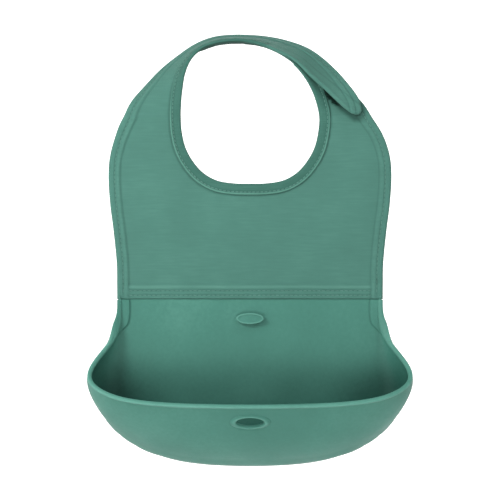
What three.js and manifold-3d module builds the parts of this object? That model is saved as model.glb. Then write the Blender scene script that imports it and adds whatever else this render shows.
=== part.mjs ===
// A roll-up baby bib: a two-layer fabric upper with a hook-and-loop neck strap, sewn to a moulded
// silicone panel whose lower half is a food-catching pocket.
// Millimetres, +Z up, the wearer's front faces -Y, +X is to the viewer's right.
// The origin is the centre of the neck opening; the flat part of the bib lies in the plane y = 0.
import * as THREE from "three";
import { mergeVertices } from "three/addons/utils/BufferGeometryUtils.js";
import Module from "manifold-3d";

// ---- driving dimensions -------------------------------------------------------------------------
const PLY_INNER = 0.15; // from the bib's middle surface to the inner face of each fabric layer
const PLY_OUTER = 0.75; // and to its outer face
const GAP = 0.3; // air left between neighbouring pieces

const BINDING_WIDTH = 8; // neckline binding, edge to inner stitch line
const BINDING_THICK = 0.6;
const BINDING_NEAR = PLY_OUTER + GAP;
const BINDING_FAR = BINDING_NEAR + BINDING_THICK;
const BINDING_START = 3; // pair on the right shoulder where it disappears under the closure tab
const PLY_SETBACK = BINDING_THICK + GAP; // the fabric's raw neck edge sits inside the binding's fold

const THREAD_WIDTH = 0.7;
const THREAD_THICK = 0.3;
const SIDE_STITCH_INSET = 4.5; // topstitching from the outer edge
const BINDING_STITCH_INSET = 6.4; // topstitching from the neck edge

const FOLD_LINE_Z = -123.2; // the fabric folds along this line, just above the sewn seam
const UPPER_LOW_Z = FOLD_LINE_Z + 0.5;
const BAND_TOP_Z = FOLD_LINE_Z - 1; // seam band: the fabric that is sewn over the silicone
const BAND_LOW_Z = -134.8;
const BAND_NEAR = 1.1;
const BAND_FAR = 1.7;
const BAND_HALF_WIDTH = 96.3;
const SEAM_ROWS_Z = [-128.7, -132];
const SEAM_ROW_HALF_LENGTH = 88;

const PANEL_HALF_THICK = 0.8; // silicone panel
const PANEL_TOP_Z = BAND_LOW_Z - GAP;
const FLANGE_HALF_THICK = 0.6; // the thinner silicone tucked between the seam band's two layers
const FLANGE_TOP_Z = -125.5;
const FLANGE_HALF_WIDTH = BAND_HALF_WIDTH - 0.4;
const FLANGE_OVERLAP = 1; // how far the flange runs down inside the panel
const RIM_RADIUS = 1.7; // bead round the pocket's mouth
const WALL_THICK = 1.6;
const WALL_BULGE = 7; // how far the pocket wall swells out between its base and its rim
const RAIL_WIDTH = 8; // raised edge up each side of the silicone panel
const RAIL_LOW_Z = -158;
const RAIL_FRONT_Y = -2.4;

const BUTTON_Z = -148.8;
const BUTTON_HALF = [10.3, 4.2];
const BUTTON_NECK_HALF = [7, 2.4];
const BUTTON_NECK_HEIGHT = 2.2;
const BUTTON_HEAD_THICK = 1.4;
const BUTTON_ROUND = 0.5;

const HOLE_RIM_DISTANCE = 12; // buttonhole's centre below the rim, measured down the wall
const HOLE_HALF = [9.75, 4.5];
const COLLAR_HALF = [14.5, 7];
const COLLAR_HEIGHT = 1.2;

// ---- neck ring: pairs of points on the neck edge and straight across on the outer edge -----------
const NECK_HALF_WIDTH = 50.1;
const SHOULDER_HALF_WIDTH = 88.6;
const SHOULDER_Z = -3; // the flat panel ends here and the shoulders start to curl back
const RIGHT_SHOULDER = [
  [[-6, 15.8, 51.8], [-5.5, 33, 55]], // free end, under the neck strap
  [[6, 13.6, 50.1], [9.8, 32, 54.7]],
  [[18, 8, 45.4], [25.8, 27.4, 51.3]],
  [[31.6, 1.6, 35.9], [42, 21.6, 43.9]],
  [[39, 1, 27], [57, 15.6, 32.8]],
  [[44.6, 0.8, 17], [69.6, 8.4, 20]],
  [[48, 0.3, 7.5], [81.8, 3.4, 7.8]],
  [[NECK_HALF_WIDTH, 0, SHOULDER_Z], [SHOULDER_HALF_WIDTH, 0, SHOULDER_Z]],
];
const NECK_CURVE_RIGHT = [
  [49.3, -14],
  [46.6, -25],
  [41.5, -34.5],
  [34, -43],
  [24, -48.6],
  [12, -50.7],
];
const NECK_LOW_Z = -51;
const LEFT_SHOULDER = [
  [[-NECK_HALF_WIDTH, 0, SHOULDER_Z], [-SHOULDER_HALF_WIDTH, 0, SHOULDER_Z]],
  [[-49.8, 0.7, 8], [-83.8, 6, 8.5]],
  [[-48.8, 2, 19], [-77.2, 16, 18.7]],
  [[-47.2, 3, 29.5], [-66.6, 26, 31.9]],
  [[-43.6, 4, 39], [-53.4, 32, 43]],
];
const NECK_STRAP = [
  [[-37.2, 5, 46.2], [-39.4, 34, 52.4]], // the strap swings about this line
  [[-25.5, 5.5, 51.2], [-26, 35, 57.4]],
  [[-12, 5.5, 52.9], [-12, 35, 58.8]],
  [[-3, 5, 52.5], [-1, 34.5, 58.6]],
  [[6, 4, 50.9], [11, 32.5, 57.6]],
];
const CLOSURE_TAB = [
  [[17, 1.5, 46], [27, 27, 54.2]], // the tab peels about this line
  [[32, -2, 37.8], [44, 20, 47.4]],
  [[44, -4, 28], [59, 12.5, 35.5]],
  [[56, -4.5, 17.8], [71, 5, 22]],
  [[66.5, -4.2, 9], [78.6, 0, 11]],
  [[76.2, -3.9, -0.6], [82, -2.7, 1]], // rounded tip
];
const JOINT_MARGIN = 0.06; // fabric stops this far short of a bend line, in pairs
const TRIM_MARGIN = 0.1; // and binding and thread this far
const GUIDE_WIDTH = 20; // length of the straight-across pairs round the bottom of the neck

const SIDE_EDGE = [
  [96.4, UPPER_LOW_Z],
  [96.7, -108],
  [99, -85],
  [101.6, -64],
  [102.6, -44],
  [101, -29],
  [96, -15],
  [SHOULDER_HALF_WIDTH, SHOULDER_Z],
];

// ---- silicone pocket: right half of the rim and of the wall's base, top to bottom centre ---------
const RIM_HALF = [
  [94.4, -1.3, -137],
  [94.5, -2, -148],
  [96.6, -6.5, -159.8],
  [102.9, -14, -169.4],
  [110.6, -24, -178.8],
  [114.9, -34, -188.2],
  [111.4, -43, -195.4],
  [100.6, -50, -201.4],
  [85, -54.4, -205.6],
  [57.8, -57.8, -208.2],
  [28.9, -59.2, -209.1],
];
const RIM_CENTRE = [0, -59.6, -209.4];
const BASE_HALF = [
  [94.4, -137],
  [94.5, -148],
  [95.6, -160],
  [97.8, -172],
  [100.2, -184],
  [102.2, -196],
  [103.4, -208],
  [101.3, -221],
  [94, -232.6],
  [76, -246.4],
  [42, -255],
];
const BASE_CENTRE = [0, -257.1];
const WALL_START = 0.064; // the wall rises out of the panel from this fraction of the rim
const BULGE_FORWARD = -0.25; // the swell leans forward by this much for each unit outwards
const FULL_BULGE_HEIGHT = 40; // a wall lower than this swells less

const RIM_STEPS = 54;
const WALL_STEPS_UP = 7;
const BEAD_STEPS = 5; // half of the facets round the rim bead's section
const RING_STEPS_PER_PAIR = 4;
const STEPS_ACROSS = 3;
const SIDE_STEPS = 20;
const ROUND_STEPS = 20;
const BIG = 400; // larger than the bib, for trimming
const CUT_REACH = 10; // the buttonhole's cutter runs past both faces of the wall

const FABRIC = { color: 0x53877a, roughness: 0.85, metalness: 0 };
const LINING = { color: 0x4a7a6e, roughness: 0.9, metalness: 0 };
const BINDING = { color: 0x457468, roughness: 0.85, metalness: 0 };
const THREAD = { color: 0x5d9484, roughness: 0.7, metalness: 0 };
const HOOK_TAPE = { color: 0x3d655b, roughness: 0.95, metalness: 0 };
const SILICONE = { color: 0x66998b, roughness: 0.5, metalness: 0 };

const wasm = await Module();
wasm.setup();

// ---- geometry helpers ---------------------------------------------------------------------------
const vector = ([x, y, z]) => new THREE.Vector3(x, y, z);

function signedVolume(geometry) {
  const position = geometry.attributes.position;
  const corner = [0, 1, 2].map(() => new THREE.Vector3());
  let volume = 0;
  for (let i = 0; i < geometry.index.count; i += 3) {
    corner.forEach((point, k) => point.fromBufferAttribute(position, geometry.index.getX(i + k)));
    volume += corner[0].dot(corner[1].cross(corner[2])) / 6;
  }
  return volume;
}

// Keeps only positions, merges the shared vertices and turns every face outwards.
function closed(geometry) {
  const bare = new THREE.BufferGeometry();
  bare.setAttribute("position", geometry.attributes.position.clone());
  if (geometry.index) {
    bare.setIndex(geometry.index.clone());
  }
  const merged = mergeVertices(bare, 1e-4);
  if (signedVolume(merged) < 0) {
    const index = merged.index;
    for (let i = 0; i < index.count; i += 3) {
      const second = index.getX(i + 1);
      index.setX(i + 1, index.getX(i + 2));
      index.setX(i + 2, second);
    }
  }
  return merged;
}

function solid(geometry) {
  const body = closed(geometry);
  const vertProperties = new Float32Array(body.attributes.position.array);
  const triVerts = new Uint32Array(body.index.array);
  return new wasm.Manifold(new wasm.Mesh({ numProp: 3, vertProperties, triVerts }));
}

function geometryOf(body) {
  const mesh = body.getMesh();
  const geometry = new THREE.BufferGeometry();
  geometry.setAttribute("position", new THREE.BufferAttribute(new Float32Array(mesh.vertProperties), 3));
  geometry.setIndex(new THREE.BufferAttribute(new Uint32Array(mesh.triVerts), 1));
  return geometry;
}

function joined(geometries) {
  const bodies = geometries.map(solid);
  return geometryOf(bodies.reduce((total, body) => total.add(body)));
}

// A bent slab: pointAt(i, j, side) places a grid of points, with side 0 the low face and 1 the high.
function slab(stepsAlong, stepsAcross, pointAt) {
  const points = [];
  const faces = [];
  const number = (i, j, side) => (i * (stepsAcross + 1) + j) * 2 + side;
  const quad = (a, b, c, d) => faces.push(a, b, c, a, c, d);
  for (let i = 0; i <= stepsAlong; i += 1) {
    for (let j = 0; j <= stepsAcross; j += 1) {
      points.push(...pointAt(i, j, 0).toArray(), ...pointAt(i, j, 1).toArray());
    }
  }
  for (let i = 0; i < stepsAlong; i += 1) {
    quad(number(i, 0, 0), number(i + 1, 0, 0), number(i + 1, 0, 1), number(i, 0, 1));
    const last = stepsAcross;
    quad(number(i, last, 0), number(i, last, 1), number(i + 1, last, 1), number(i + 1, last, 0));
    for (let j = 0; j < stepsAcross; j += 1) {
      quad(number(i, j, 1), number(i + 1, j, 1), number(i + 1, j + 1, 1), number(i, j + 1, 1));
      faces.push(number(i, j, 0), number(i + 1, j + 1, 0), number(i + 1, j, 0));
      faces.push(number(i, j, 0), number(i, j + 1, 0), number(i + 1, j + 1, 0));
    }
  }
  for (let j = 0; j < stepsAcross; j += 1) {
    const end = stepsAlong;
    quad(number(0, j, 0), number(0, j, 1), number(0, j + 1, 1), number(0, j + 1, 0));
    quad(number(end, j, 0), number(end, j + 1, 0), number(end, j + 1, 1), number(end, j, 1));
  }
  const geometry = new THREE.BufferGeometry();
  geometry.setAttribute("position", new THREE.Float32BufferAttribute(points, 3));
  geometry.setIndex(faces);
  return closed(geometry);
}

// A slab along frames, each of which gives two opposite edge points and the normal between them.
function ribbon(frames, low, high, stepsAcross = 1) {
  return slab(frames.length - 1, stepsAcross, (i, j, side) => {
    const { from, to, normal } = frames[i];
    const point = from.clone().lerp(to, j / stepsAcross);
    return point.addScaledVector(normal, side === 1 ? high : low);
  });
}

// A plate whose outline is drawn in the XZ plane, from y = back to y = front (front is lower).
function plate(shape, front, back, curveSegments = 4) {
  const geometry = new THREE.ExtrudeGeometry(shape, {
    depth: back - front,
    bevelEnabled: false,
    curveSegments,
  });
  geometry.rotateX(Math.PI / 2);
  geometry.translate(0, back, 0);
  return closed(geometry);
}

function ellipse(halfWidth, halfHeight) {
  const shape = new THREE.Shape();
  shape.absellipse(0, 0, halfWidth, halfHeight, 0, 2 * Math.PI);
  return shape;
}

// ---- neck ring surface --------------------------------------------------------------------------
function neckCurvePairs() {
  const right = NECK_CURVE_RIGHT;
  const left = [...right].reverse().map(([x, z]) => [-x, z]);
  const bottom = [0, NECK_LOW_Z];
  const start = [NECK_HALF_WIDTH, SHOULDER_Z];
  const end = [-NECK_HALF_WIDTH, SHOULDER_Z];
  const points = [start, ...right, bottom, ...left, end];
  return points.slice(1, -1).map(([x, z], i) => {
    const before = points[i];
    const after = points[i + 2];
    const across = new THREE.Vector3(before[1] - after[1], 0, after[0] - before[0]).normalize();
    const edge = new THREE.Vector3(x, 0, z);
    return [edge.toArray(), edge.clone().addScaledVector(across, GUIDE_WIDTH).toArray()];
  });
}

const NECK_PAIRS = neckCurvePairs();
const RING = [...RIGHT_SHOULDER, ...NECK_PAIRS, ...LEFT_SHOULDER, ...NECK_STRAP, ...CLOSURE_TAB];
const LEFT_START = RIGHT_SHOULDER.length + NECK_PAIRS.length;
const RIGHT_BASE = RIGHT_SHOULDER.length - 1;
const STRAP_HINGE = LEFT_START + LEFT_SHOULDER.length;
const TAB_HINGE = STRAP_HINGE + NECK_STRAP.length;
const TAB_TIP = RING.length - 1;

const edgeCurve = new THREE.CatmullRomCurve3(RING.map(([edge]) => vector(edge)));
const outerCurve = new THREE.CatmullRomCurve3(RING.map(([, outer]) => vector(outer)));
// Above the flat panel the outer edge runs on from the panel's sides, not from the neck's guides.
const RIGHT_GUIDES = SIDE_EDGE.slice(-3, -1).reverse().map(([x, z]) => [x, 0, z]);
const LEFT_GUIDES = RIGHT_GUIDES.map(([x, y, z]) => [-x, y, z]).reverse();
const rightOuter = [...RIGHT_SHOULDER.map(([, outer]) => outer), ...RIGHT_GUIDES];
const leftOuter = [...LEFT_GUIDES, ...RING.slice(LEFT_START).map(([, outer]) => outer)];
const rightOuterCurve = new THREE.CatmullRomCurve3(rightOuter.map(vector));
const leftOuterCurve = new THREE.CatmullRomCurve3(leftOuter.map(vector));

function outerAt(pair) {
  if (pair <= RIGHT_BASE) {
    const t = pair / (rightOuter.length - 1);
    return [rightOuterCurve.getPoint(t), rightOuterCurve.getTangent(t)];
  }
  if (pair >= LEFT_START) {
    const t = (pair - LEFT_START + LEFT_GUIDES.length) / (leftOuter.length - 1);
    return [leftOuterCurve.getPoint(t), leftOuterCurve.getTangent(t)];
  }
  return [outerCurve.getPoint(pair / TAB_TIP), outerCurve.getTangent(pair / TAB_TIP)];
}

// Position on the ring at a pair number: edge point, unit vector across, width and outward normal.
function ringAt(pair) {
  const t = THREE.MathUtils.clamp(pair / TAB_TIP, 0, 1);
  const edge = edgeCurve.getPoint(t);
  const [outer, outerTangent] = outerAt(t * TAB_TIP);
  const along = edgeCurve.getTangent(t).add(outerTangent);
  if (pair >= RIGHT_BASE && pair <= LEFT_START) {
    [edge, outer, along].forEach((flat) => flat.setY(0));
  }
  const across = outer.clone().sub(edge);
  const width = across.length();
  across.normalize();
  const normal = along.cross(across).normalize();
  return { edge, across, width, normal };
}

// Pair numbers from first to last, with every shared station between them, so that layers lie parallel.
function stations(first, last) {
  const list = [first];
  const step = 1 / RING_STEPS_PER_PAIR;
  for (let pair = Math.floor(first / step + 1) * step; pair < last - step / 4; pair += step) {
    list.push(pair);
  }
  return [...list, last];
}

// Frames between two distances from the neck edge; a distance can depend on the ring's own width.
function ringFrames(first, last, near, far) {
  return stations(first, last).map((pair) => {
    const { edge, across, width, normal } = ringAt(pair);
    return {
      from: edge.clone().addScaledVector(across, near(width)),
      to: edge.clone().addScaledVector(across, far(width)),
      normal,
    };
  });
}

const fixed = (distance) => () => distance;
const fromOuter = (inset) => (width) => width - inset;

// ---- side edge of the flat panel ----------------------------------------------------------------
const SIDE_AFTER = [81.8, 7.8]; // where the right shoulder's outer edge goes on to
const sidePoints = [...SIDE_EDGE, SIDE_AFTER].map(([x, z]) => new THREE.Vector2(x, z));
const sideCurve = new THREE.SplineCurve(sidePoints);
const SIDE_SHARE = (SIDE_EDGE.length - 1) / (sidePoints.length - 1);

function sideOutline() {
  return Array.from({ length: SIDE_STEPS + 1 }, (_, i) => sideCurve.getPoint((i / SIDE_STEPS) * SIDE_SHARE));
}

function sideFrames(side, inset, width) {
  const frames = [];
  for (let i = 0; i <= SIDE_STEPS; i += 1) {
    const point = sideCurve.getPoint((i / SIDE_STEPS) * SIDE_SHARE);
    const tangent = sideCurve.getTangent((i / SIDE_STEPS) * SIDE_SHARE);
    const inward = new THREE.Vector3(-tangent.y * side, 0, tangent.x);
    const edge = new THREE.Vector3(point.x * side, 0, point.y);
    frames.push({
      from: edge.clone().addScaledVector(inward, inset),
      to: edge.clone().addScaledVector(inward, inset - width),
      normal: new THREE.Vector3(0, -1, 0),
    });
  }
  return frames;
}

// ---- fabric upper -------------------------------------------------------------------------------
const SHOULDER_OVERLAP = 3; // how far each shoulder strip runs down into the flat panel

function upperOutline() {
  const outline = sideOutline();
  for (let pair = RIGHT_BASE; pair <= LEFT_START + 1e-6; pair += 1 / RING_STEPS_PER_PAIR) {
    const { edge, across } = ringAt(pair);
    edge.addScaledVector(across, PLY_SETBACK);
    outline.push(new THREE.Vector2(edge.x, edge.z));
  }
  const left = sideOutline().reverse();
  left.forEach((p) => outline.push(new THREE.Vector2(-p.x, p.y)));
  return new THREE.Shape(outline);
}

function upperLayer(low, high) {
  const setback = fixed(PLY_SETBACK);
  const right = ringFrames(0, RIGHT_BASE, setback, fromOuter(0));
  const left = ringFrames(LEFT_START, STRAP_HINGE - JOINT_MARGIN, setback, fromOuter(0));
  const flat = (frame) => ({
    from: frame.from.clone().setZ(frame.from.z - SHOULDER_OVERLAP),
    to: frame.to.clone().setZ(frame.to.z - SHOULDER_OVERLAP),
    normal: new THREE.Vector3(0, -1, 0),
  });
  right[right.length - 1].normal.set(0, -1, 0);
  left[0].normal.set(0, -1, 0);
  right.push(flat(right[right.length - 1]));
  left.unshift(flat(left[0]));
  return joined([
    plate(upperOutline(), -high, -low),
    ribbon(right, low, high, STEPS_ACROSS),
    ribbon(left, low, high, STEPS_ACROSS),
  ]);
}

// A strip folded round the neck edge: its section is a U, given as distances across and outward.
function binding(first, last) {
  const outside = [
    [BINDING_WIDTH, BINDING_FAR],
    [0, BINDING_FAR],
    [0, -BINDING_FAR],
    [BINDING_WIDTH, -BINDING_FAR],
  ];
  const inside = outside.map(([distance, height]) => [
    distance === 0 ? BINDING_THICK : distance,
    Math.sign(height) * BINDING_NEAR,
  ]);
  const pairs = stations(first, last);
  return slab(pairs.length - 1, outside.length - 1, (i, j, side) => {
    const { edge, across, normal } = ringAt(pairs[i]);
    const [distance, height] = (side === 1 ? outside : inside)[j];
    return edge.addScaledVector(across, distance).addScaledVector(normal, height);
  });
}

function ringThread(first, last, distance, surface) {
  const near = (width) => distance(width) - THREAD_WIDTH / 2;
  const far = (width) => distance(width) + THREAD_WIDTH / 2;
  return ribbon(ringFrames(first, last, near, far), surface + GAP, surface + GAP + THREAD_THICK);
}

function sideThread(side) {
  const flat = sideFrames(side, SIDE_STITCH_INSET + THREAD_WIDTH / 2, THREAD_WIDTH);
  const near = fromOuter(SIDE_STITCH_INSET + THREAD_WIDTH / 2);
  const far = fromOuter(SIDE_STITCH_INSET - THREAD_WIDTH / 2);
  const onRight = () => ringFrames(0, RIGHT_BASE, near, far).reverse();
  const onLeft = () => ringFrames(LEFT_START, STRAP_HINGE - TRIM_MARGIN, near, far);
  const frames = [...flat.slice(0, -1), ...(side > 0 ? onRight() : onLeft())];
  return ribbon(frames, PLY_OUTER + GAP, PLY_OUTER + GAP + THREAD_THICK);
}

// ---- hook-and-loop ------------------------------------------------------------------------------
const LOOP_SPAN = [3.5, 5.3]; // pairs on the right shoulder
const LOOP_NECK_MARGIN = 9; // from the neck edge
const LOOP_OUTER_MARGIN = 6.5; // clear of the edge's topstitching
const HOOK_SPAN = [TAB_HINGE + 1.5, TAB_HINGE + 3.4];
const HOOK_NECK_MARGIN = 5.5;
const HOOK_OUTER_MARGIN = 3.5;
const TAPE_THICK = 0.7;

function loopPatch() {
  const frames = ringFrames(...LOOP_SPAN, fixed(LOOP_NECK_MARGIN), fromOuter(LOOP_OUTER_MARGIN));
  return ribbon(frames, PLY_OUTER + GAP, PLY_OUTER + GAP + TAPE_THICK, STEPS_ACROSS);
}

function hookPatch() {
  const frames = ringFrames(...HOOK_SPAN, fixed(HOOK_NECK_MARGIN), fromOuter(HOOK_OUTER_MARGIN));
  return ribbon(frames, -PLY_OUTER - GAP - TAPE_THICK, -PLY_OUTER - GAP, STEPS_ACROSS);
}

// ---- seam band: the folded foot of the fabric, sewn over the silicone's flange ------------------
function seamBand(near, far) {
  const band = new THREE.Shape();
  band.moveTo(-BAND_HALF_WIDTH, BAND_LOW_Z);
  band.lineTo(BAND_HALF_WIDTH, BAND_LOW_Z);
  band.lineTo(BAND_HALF_WIDTH, BAND_TOP_Z);
  band.lineTo(-BAND_HALF_WIDTH, BAND_TOP_Z);
  return plate(band, near, far);
}

function seamRow(z) {
  const frames = [-1, 1].map((side) => ({
    from: new THREE.Vector3(side * SEAM_ROW_HALF_LENGTH, 0, z - THREAD_WIDTH / 2),
    to: new THREE.Vector3(side * SEAM_ROW_HALF_LENGTH, 0, z + THREAD_WIDTH / 2),
    normal: new THREE.Vector3(0, -1, 0),
  }));
  return ribbon(frames, BAND_FAR + GAP, BAND_FAR + GAP + THREAD_THICK);
}

// ---- silicone panel and pocket ------------------------------------------------------------------
function mirrored(half, centre) {
  const left = half.map(([x, ...rest]) => [-x, ...rest]);
  return [...left, centre, ...[...half].reverse()];
}

const rimCurve = new THREE.CatmullRomCurve3(mirrored(RIM_HALF, RIM_CENTRE).map(vector));
const baseCurve = new THREE.CatmullRomCurve3(
  mirrored(BASE_HALF, BASE_CENTRE).map(([x, z]) => new THREE.Vector3(x, 0, z)),
);

// Middle surface of the pocket wall: u runs round the mouth, v from the base (0) to the rim (1).
function wallPoint(u, v) {
  const base = baseCurve.getPoint(u);
  const rim = rimCurve.getPoint(u);
  const tangent = baseCurve.getTangent(u);
  const outward = new THREE.Vector3(tangent.z, BULGE_FORWARD, -tangent.x).normalize();
  const reach = Math.min(1, base.distanceTo(rim) / FULL_BULGE_HEIGHT);
  return base.lerp(rim, v).addScaledVector(outward, WALL_BULGE * reach * Math.sin(Math.PI * v));
}

function wallFrame(u, v) {
  const step = 1e-3;
  const point = wallPoint(u, v);
  const along = wallPoint(u + step, v).sub(wallPoint(u - step, v));
  const up = wallPoint(u, v + step).sub(wallPoint(u, v - step)).normalize();
  const normal = along.clone().cross(up).normalize();
  return { point, up, normal };
}

function pocketWall() {
  return slab(RIM_STEPS, WALL_STEPS_UP, (i, j, side) => {
    const u = THREE.MathUtils.lerp(WALL_START, 1 - WALL_START, i / RIM_STEPS);
    const { point, normal } = wallFrame(u, j / WALL_STEPS_UP);
    return point.addScaledVector(normal, (side - 0.5) * WALL_THICK);
  });
}

function rimBead() {
  const section = ellipse(RIM_RADIUS, RIM_RADIUS);
  return new THREE.ExtrudeGeometry(section, {
    steps: RIM_STEPS,
    curveSegments: BEAD_STEPS,
    bevelEnabled: false,
    extrudePath: rimCurve,
  });
}

function panelOutline() {
  const outline = [new THREE.Vector2(-FLANGE_HALF_WIDTH, PANEL_TOP_Z)];
  baseCurve.getPoints(RIM_STEPS).forEach((p) => outline.push(new THREE.Vector2(p.x, p.z)));
  outline.push(new THREE.Vector2(FLANGE_HALF_WIDTH, PANEL_TOP_Z));
  return new THREE.Shape(outline);
}

function flange() {
  const height = FLANGE_TOP_Z - PANEL_TOP_Z + FLANGE_OVERLAP;
  const body = new THREE.BoxGeometry(2 * FLANGE_HALF_WIDTH, 2 * FLANGE_HALF_THICK, height);
  return body.translate(0, 0, FLANGE_TOP_Z - height / 2);
}

// The rail narrows at its foot, where the pocket's rim takes over.
function sideRail(side) {
  const outer = side * BAND_HALF_WIDTH;
  const inner = side * (BAND_HALF_WIDTH - RAIL_WIDTH);
  const foot = side * (BAND_HALF_WIDTH - RAIL_WIDTH / 2);
  const rail = new THREE.Shape();
  rail.moveTo(inner, PANEL_TOP_Z);
  rail.lineTo(outer, PANEL_TOP_Z);
  rail.lineTo(outer, RAIL_LOW_Z + RAIL_WIDTH);
  rail.lineTo(foot + side * RIM_RADIUS, RAIL_LOW_Z);
  rail.lineTo(foot, RAIL_LOW_Z);
  rail.lineTo(inner, RAIL_LOW_Z + RAIL_WIDTH);
  return plate(rail, RAIL_FRONT_Y, PANEL_HALF_THICK);
}

function button() {
  const front = -PANEL_HALF_THICK;
  const headMiddle = front - BUTTON_NECK_HEIGHT - BUTTON_HEAD_THICK / 2;
  const neck = plate(ellipse(...BUTTON_NECK_HALF), headMiddle, 0, ROUND_STEPS);
  const head = new THREE.ExtrudeGeometry(
    ellipse(BUTTON_HALF[0] - BUTTON_ROUND, BUTTON_HALF[1] - BUTTON_ROUND),
    {
      depth: BUTTON_HEAD_THICK - 2 * BUTTON_ROUND,
      bevelThickness: BUTTON_ROUND,
      bevelSize: BUTTON_ROUND,
      bevelSegments: 2,
      curveSegments: ROUND_STEPS,
    },
  );
  head.rotateX(Math.PI / 2);
  head.translate(0, front - BUTTON_NECK_HEIGHT - BUTTON_ROUND, 0);
  neck.translate(0, 0, BUTTON_Z);
  head.translate(0, 0, BUTTON_Z);
  return [neck, head];
}

// An oval prism standing on the wall at the buttonhole, from one height to another off its middle.
function onWall(shape, low, high) {
  const wallLength = wallPoint(0.5, 0).distanceTo(wallPoint(0.5, 1));
  const { point, up, normal } = wallFrame(0.5, 1 - HOLE_RIM_DISTANCE / wallLength);
  const prism = new THREE.ExtrudeGeometry(shape, {
    depth: high - low,
    bevelEnabled: false,
    curveSegments: ROUND_STEPS,
  });
  const outward = normal.y > 0 ? normal.negate() : normal;
  const right = up.clone().cross(outward).normalize();
  const place = new THREE.Matrix4().makeBasis(right, up, outward);
  place.setPosition(point.addScaledVector(outward, low));
  return prism.applyMatrix4(place);
}

function siliconePocket() {
  const behind = new THREE.BoxGeometry(BIG, BIG, 2 * BIG);
  behind.translate(0, PANEL_HALF_THICK + BIG / 2, 0);
  const bodies = [
    plate(panelOutline(), -PANEL_HALF_THICK, PANEL_HALF_THICK),
    flange(),
    pocketWall(),
    rimBead(),
    sideRail(-1),
    sideRail(1),
    ...button(),
    onWall(ellipse(...COLLAR_HALF), 0, WALL_THICK / 2 + COLLAR_HEIGHT),
  ].map(solid);
  const whole = bodies.reduce((total, body) => total.add(body));
  const hole = solid(onWall(ellipse(...HOLE_HALF), -CUT_REACH, CUT_REACH));
  return geometryOf(whole.subtract(hole).subtract(solid(behind)));
}

// ---- assembly -----------------------------------------------------------------------------------
const bib = new THREE.Group();

function add(name, geometry, look) {
  const mesh = new THREE.Mesh(geometry, new THREE.MeshStandardMaterial(look));
  mesh.name = name;
  bib.add(mesh);
}

const strapStart = STRAP_HINGE + JOINT_MARGIN;
const strapEnd = TAB_HINGE - JOINT_MARGIN;
const strapFrames = () => ringFrames(strapStart, strapEnd, fixed(PLY_SETBACK), fromOuter(0));
const tabFrames = () => ringFrames(TAB_HINGE + JOINT_MARGIN, TAB_TIP, fixed(0), fromOuter(0));
const shoulderEnd = STRAP_HINGE - TRIM_MARGIN;
const neckThread = ringThread(BINDING_START, shoulderEnd, fixed(BINDING_STITCH_INSET), BINDING_FAR);

add("front_panel", upperLayer(PLY_INNER, PLY_OUTER), FABRIC);
add("back_panel", upperLayer(-PLY_OUTER, -PLY_INNER), LINING);
add("neckline_binding", binding(BINDING_START, shoulderEnd), BINDING);
add("neckline_topstitching", neckThread, THREAD);
add("left_edge_topstitching", sideThread(-1), THREAD);
add("right_edge_topstitching", sideThread(1), THREAD);
add("loop_patch", loopPatch(), HOOK_TAPE);

add("seam_band_front", seamBand(-BAND_FAR, -BAND_NEAR), FABRIC);
add("seam_band_back", seamBand(BAND_NEAR, BAND_FAR), LINING);
add("seam_stitch_row_upper", seamRow(SEAM_ROWS_Z[0]), THREAD);
add("seam_stitch_row_lower", seamRow(SEAM_ROWS_Z[1]), THREAD);
add("silicone_pocket", siliconePocket(), SILICONE);

add("strap_front", ribbon(strapFrames(), PLY_INNER, PLY_OUTER, STEPS_ACROSS), FABRIC);
add("strap_back", ribbon(strapFrames(), -PLY_OUTER, -PLY_INNER, STEPS_ACROSS), LINING);
add("strap_binding", binding(STRAP_HINGE + TRIM_MARGIN, TAB_HINGE - TRIM_MARGIN), BINDING);

add("tab_front", ribbon(tabFrames(), PLY_INNER, PLY_OUTER, STEPS_ACROSS), FABRIC);
add("tab_back", ribbon(tabFrames(), -PLY_OUTER, -PLY_INNER, STEPS_ACROSS), LINING);
add("hook_patch", hookPatch(), HOOK_TAPE);

export default bib;
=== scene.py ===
"""A roll-up baby bib: cloth upper with a hook-and-loop neck strap, sewn to a moulded silicone pocket.

Lengths are in millimetres until a mesh is made, in the CAD's own frame: +Z up, the front faces -Y.
"""

import math

import bpy
import numpy as np
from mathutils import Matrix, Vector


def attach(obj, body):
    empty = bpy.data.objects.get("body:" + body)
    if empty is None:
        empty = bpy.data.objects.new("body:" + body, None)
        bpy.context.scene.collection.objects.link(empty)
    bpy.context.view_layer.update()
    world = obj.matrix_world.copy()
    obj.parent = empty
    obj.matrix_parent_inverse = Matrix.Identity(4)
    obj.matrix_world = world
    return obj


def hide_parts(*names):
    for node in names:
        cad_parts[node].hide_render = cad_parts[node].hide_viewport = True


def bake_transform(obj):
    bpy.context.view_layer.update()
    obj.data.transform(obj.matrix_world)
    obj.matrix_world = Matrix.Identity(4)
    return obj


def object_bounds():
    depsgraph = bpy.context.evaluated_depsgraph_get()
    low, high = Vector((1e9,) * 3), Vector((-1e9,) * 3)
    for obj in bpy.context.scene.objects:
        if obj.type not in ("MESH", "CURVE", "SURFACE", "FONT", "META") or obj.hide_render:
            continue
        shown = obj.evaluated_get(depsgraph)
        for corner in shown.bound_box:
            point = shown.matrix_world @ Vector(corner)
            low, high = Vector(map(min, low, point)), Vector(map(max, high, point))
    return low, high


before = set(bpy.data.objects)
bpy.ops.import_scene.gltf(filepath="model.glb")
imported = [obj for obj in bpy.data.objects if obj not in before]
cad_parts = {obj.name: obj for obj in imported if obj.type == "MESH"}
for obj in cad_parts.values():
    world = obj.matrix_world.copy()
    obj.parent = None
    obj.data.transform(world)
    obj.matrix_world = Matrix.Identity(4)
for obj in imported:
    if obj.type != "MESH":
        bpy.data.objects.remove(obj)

CAD_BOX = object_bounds()
MM = 0.001
SEED = 7

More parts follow.
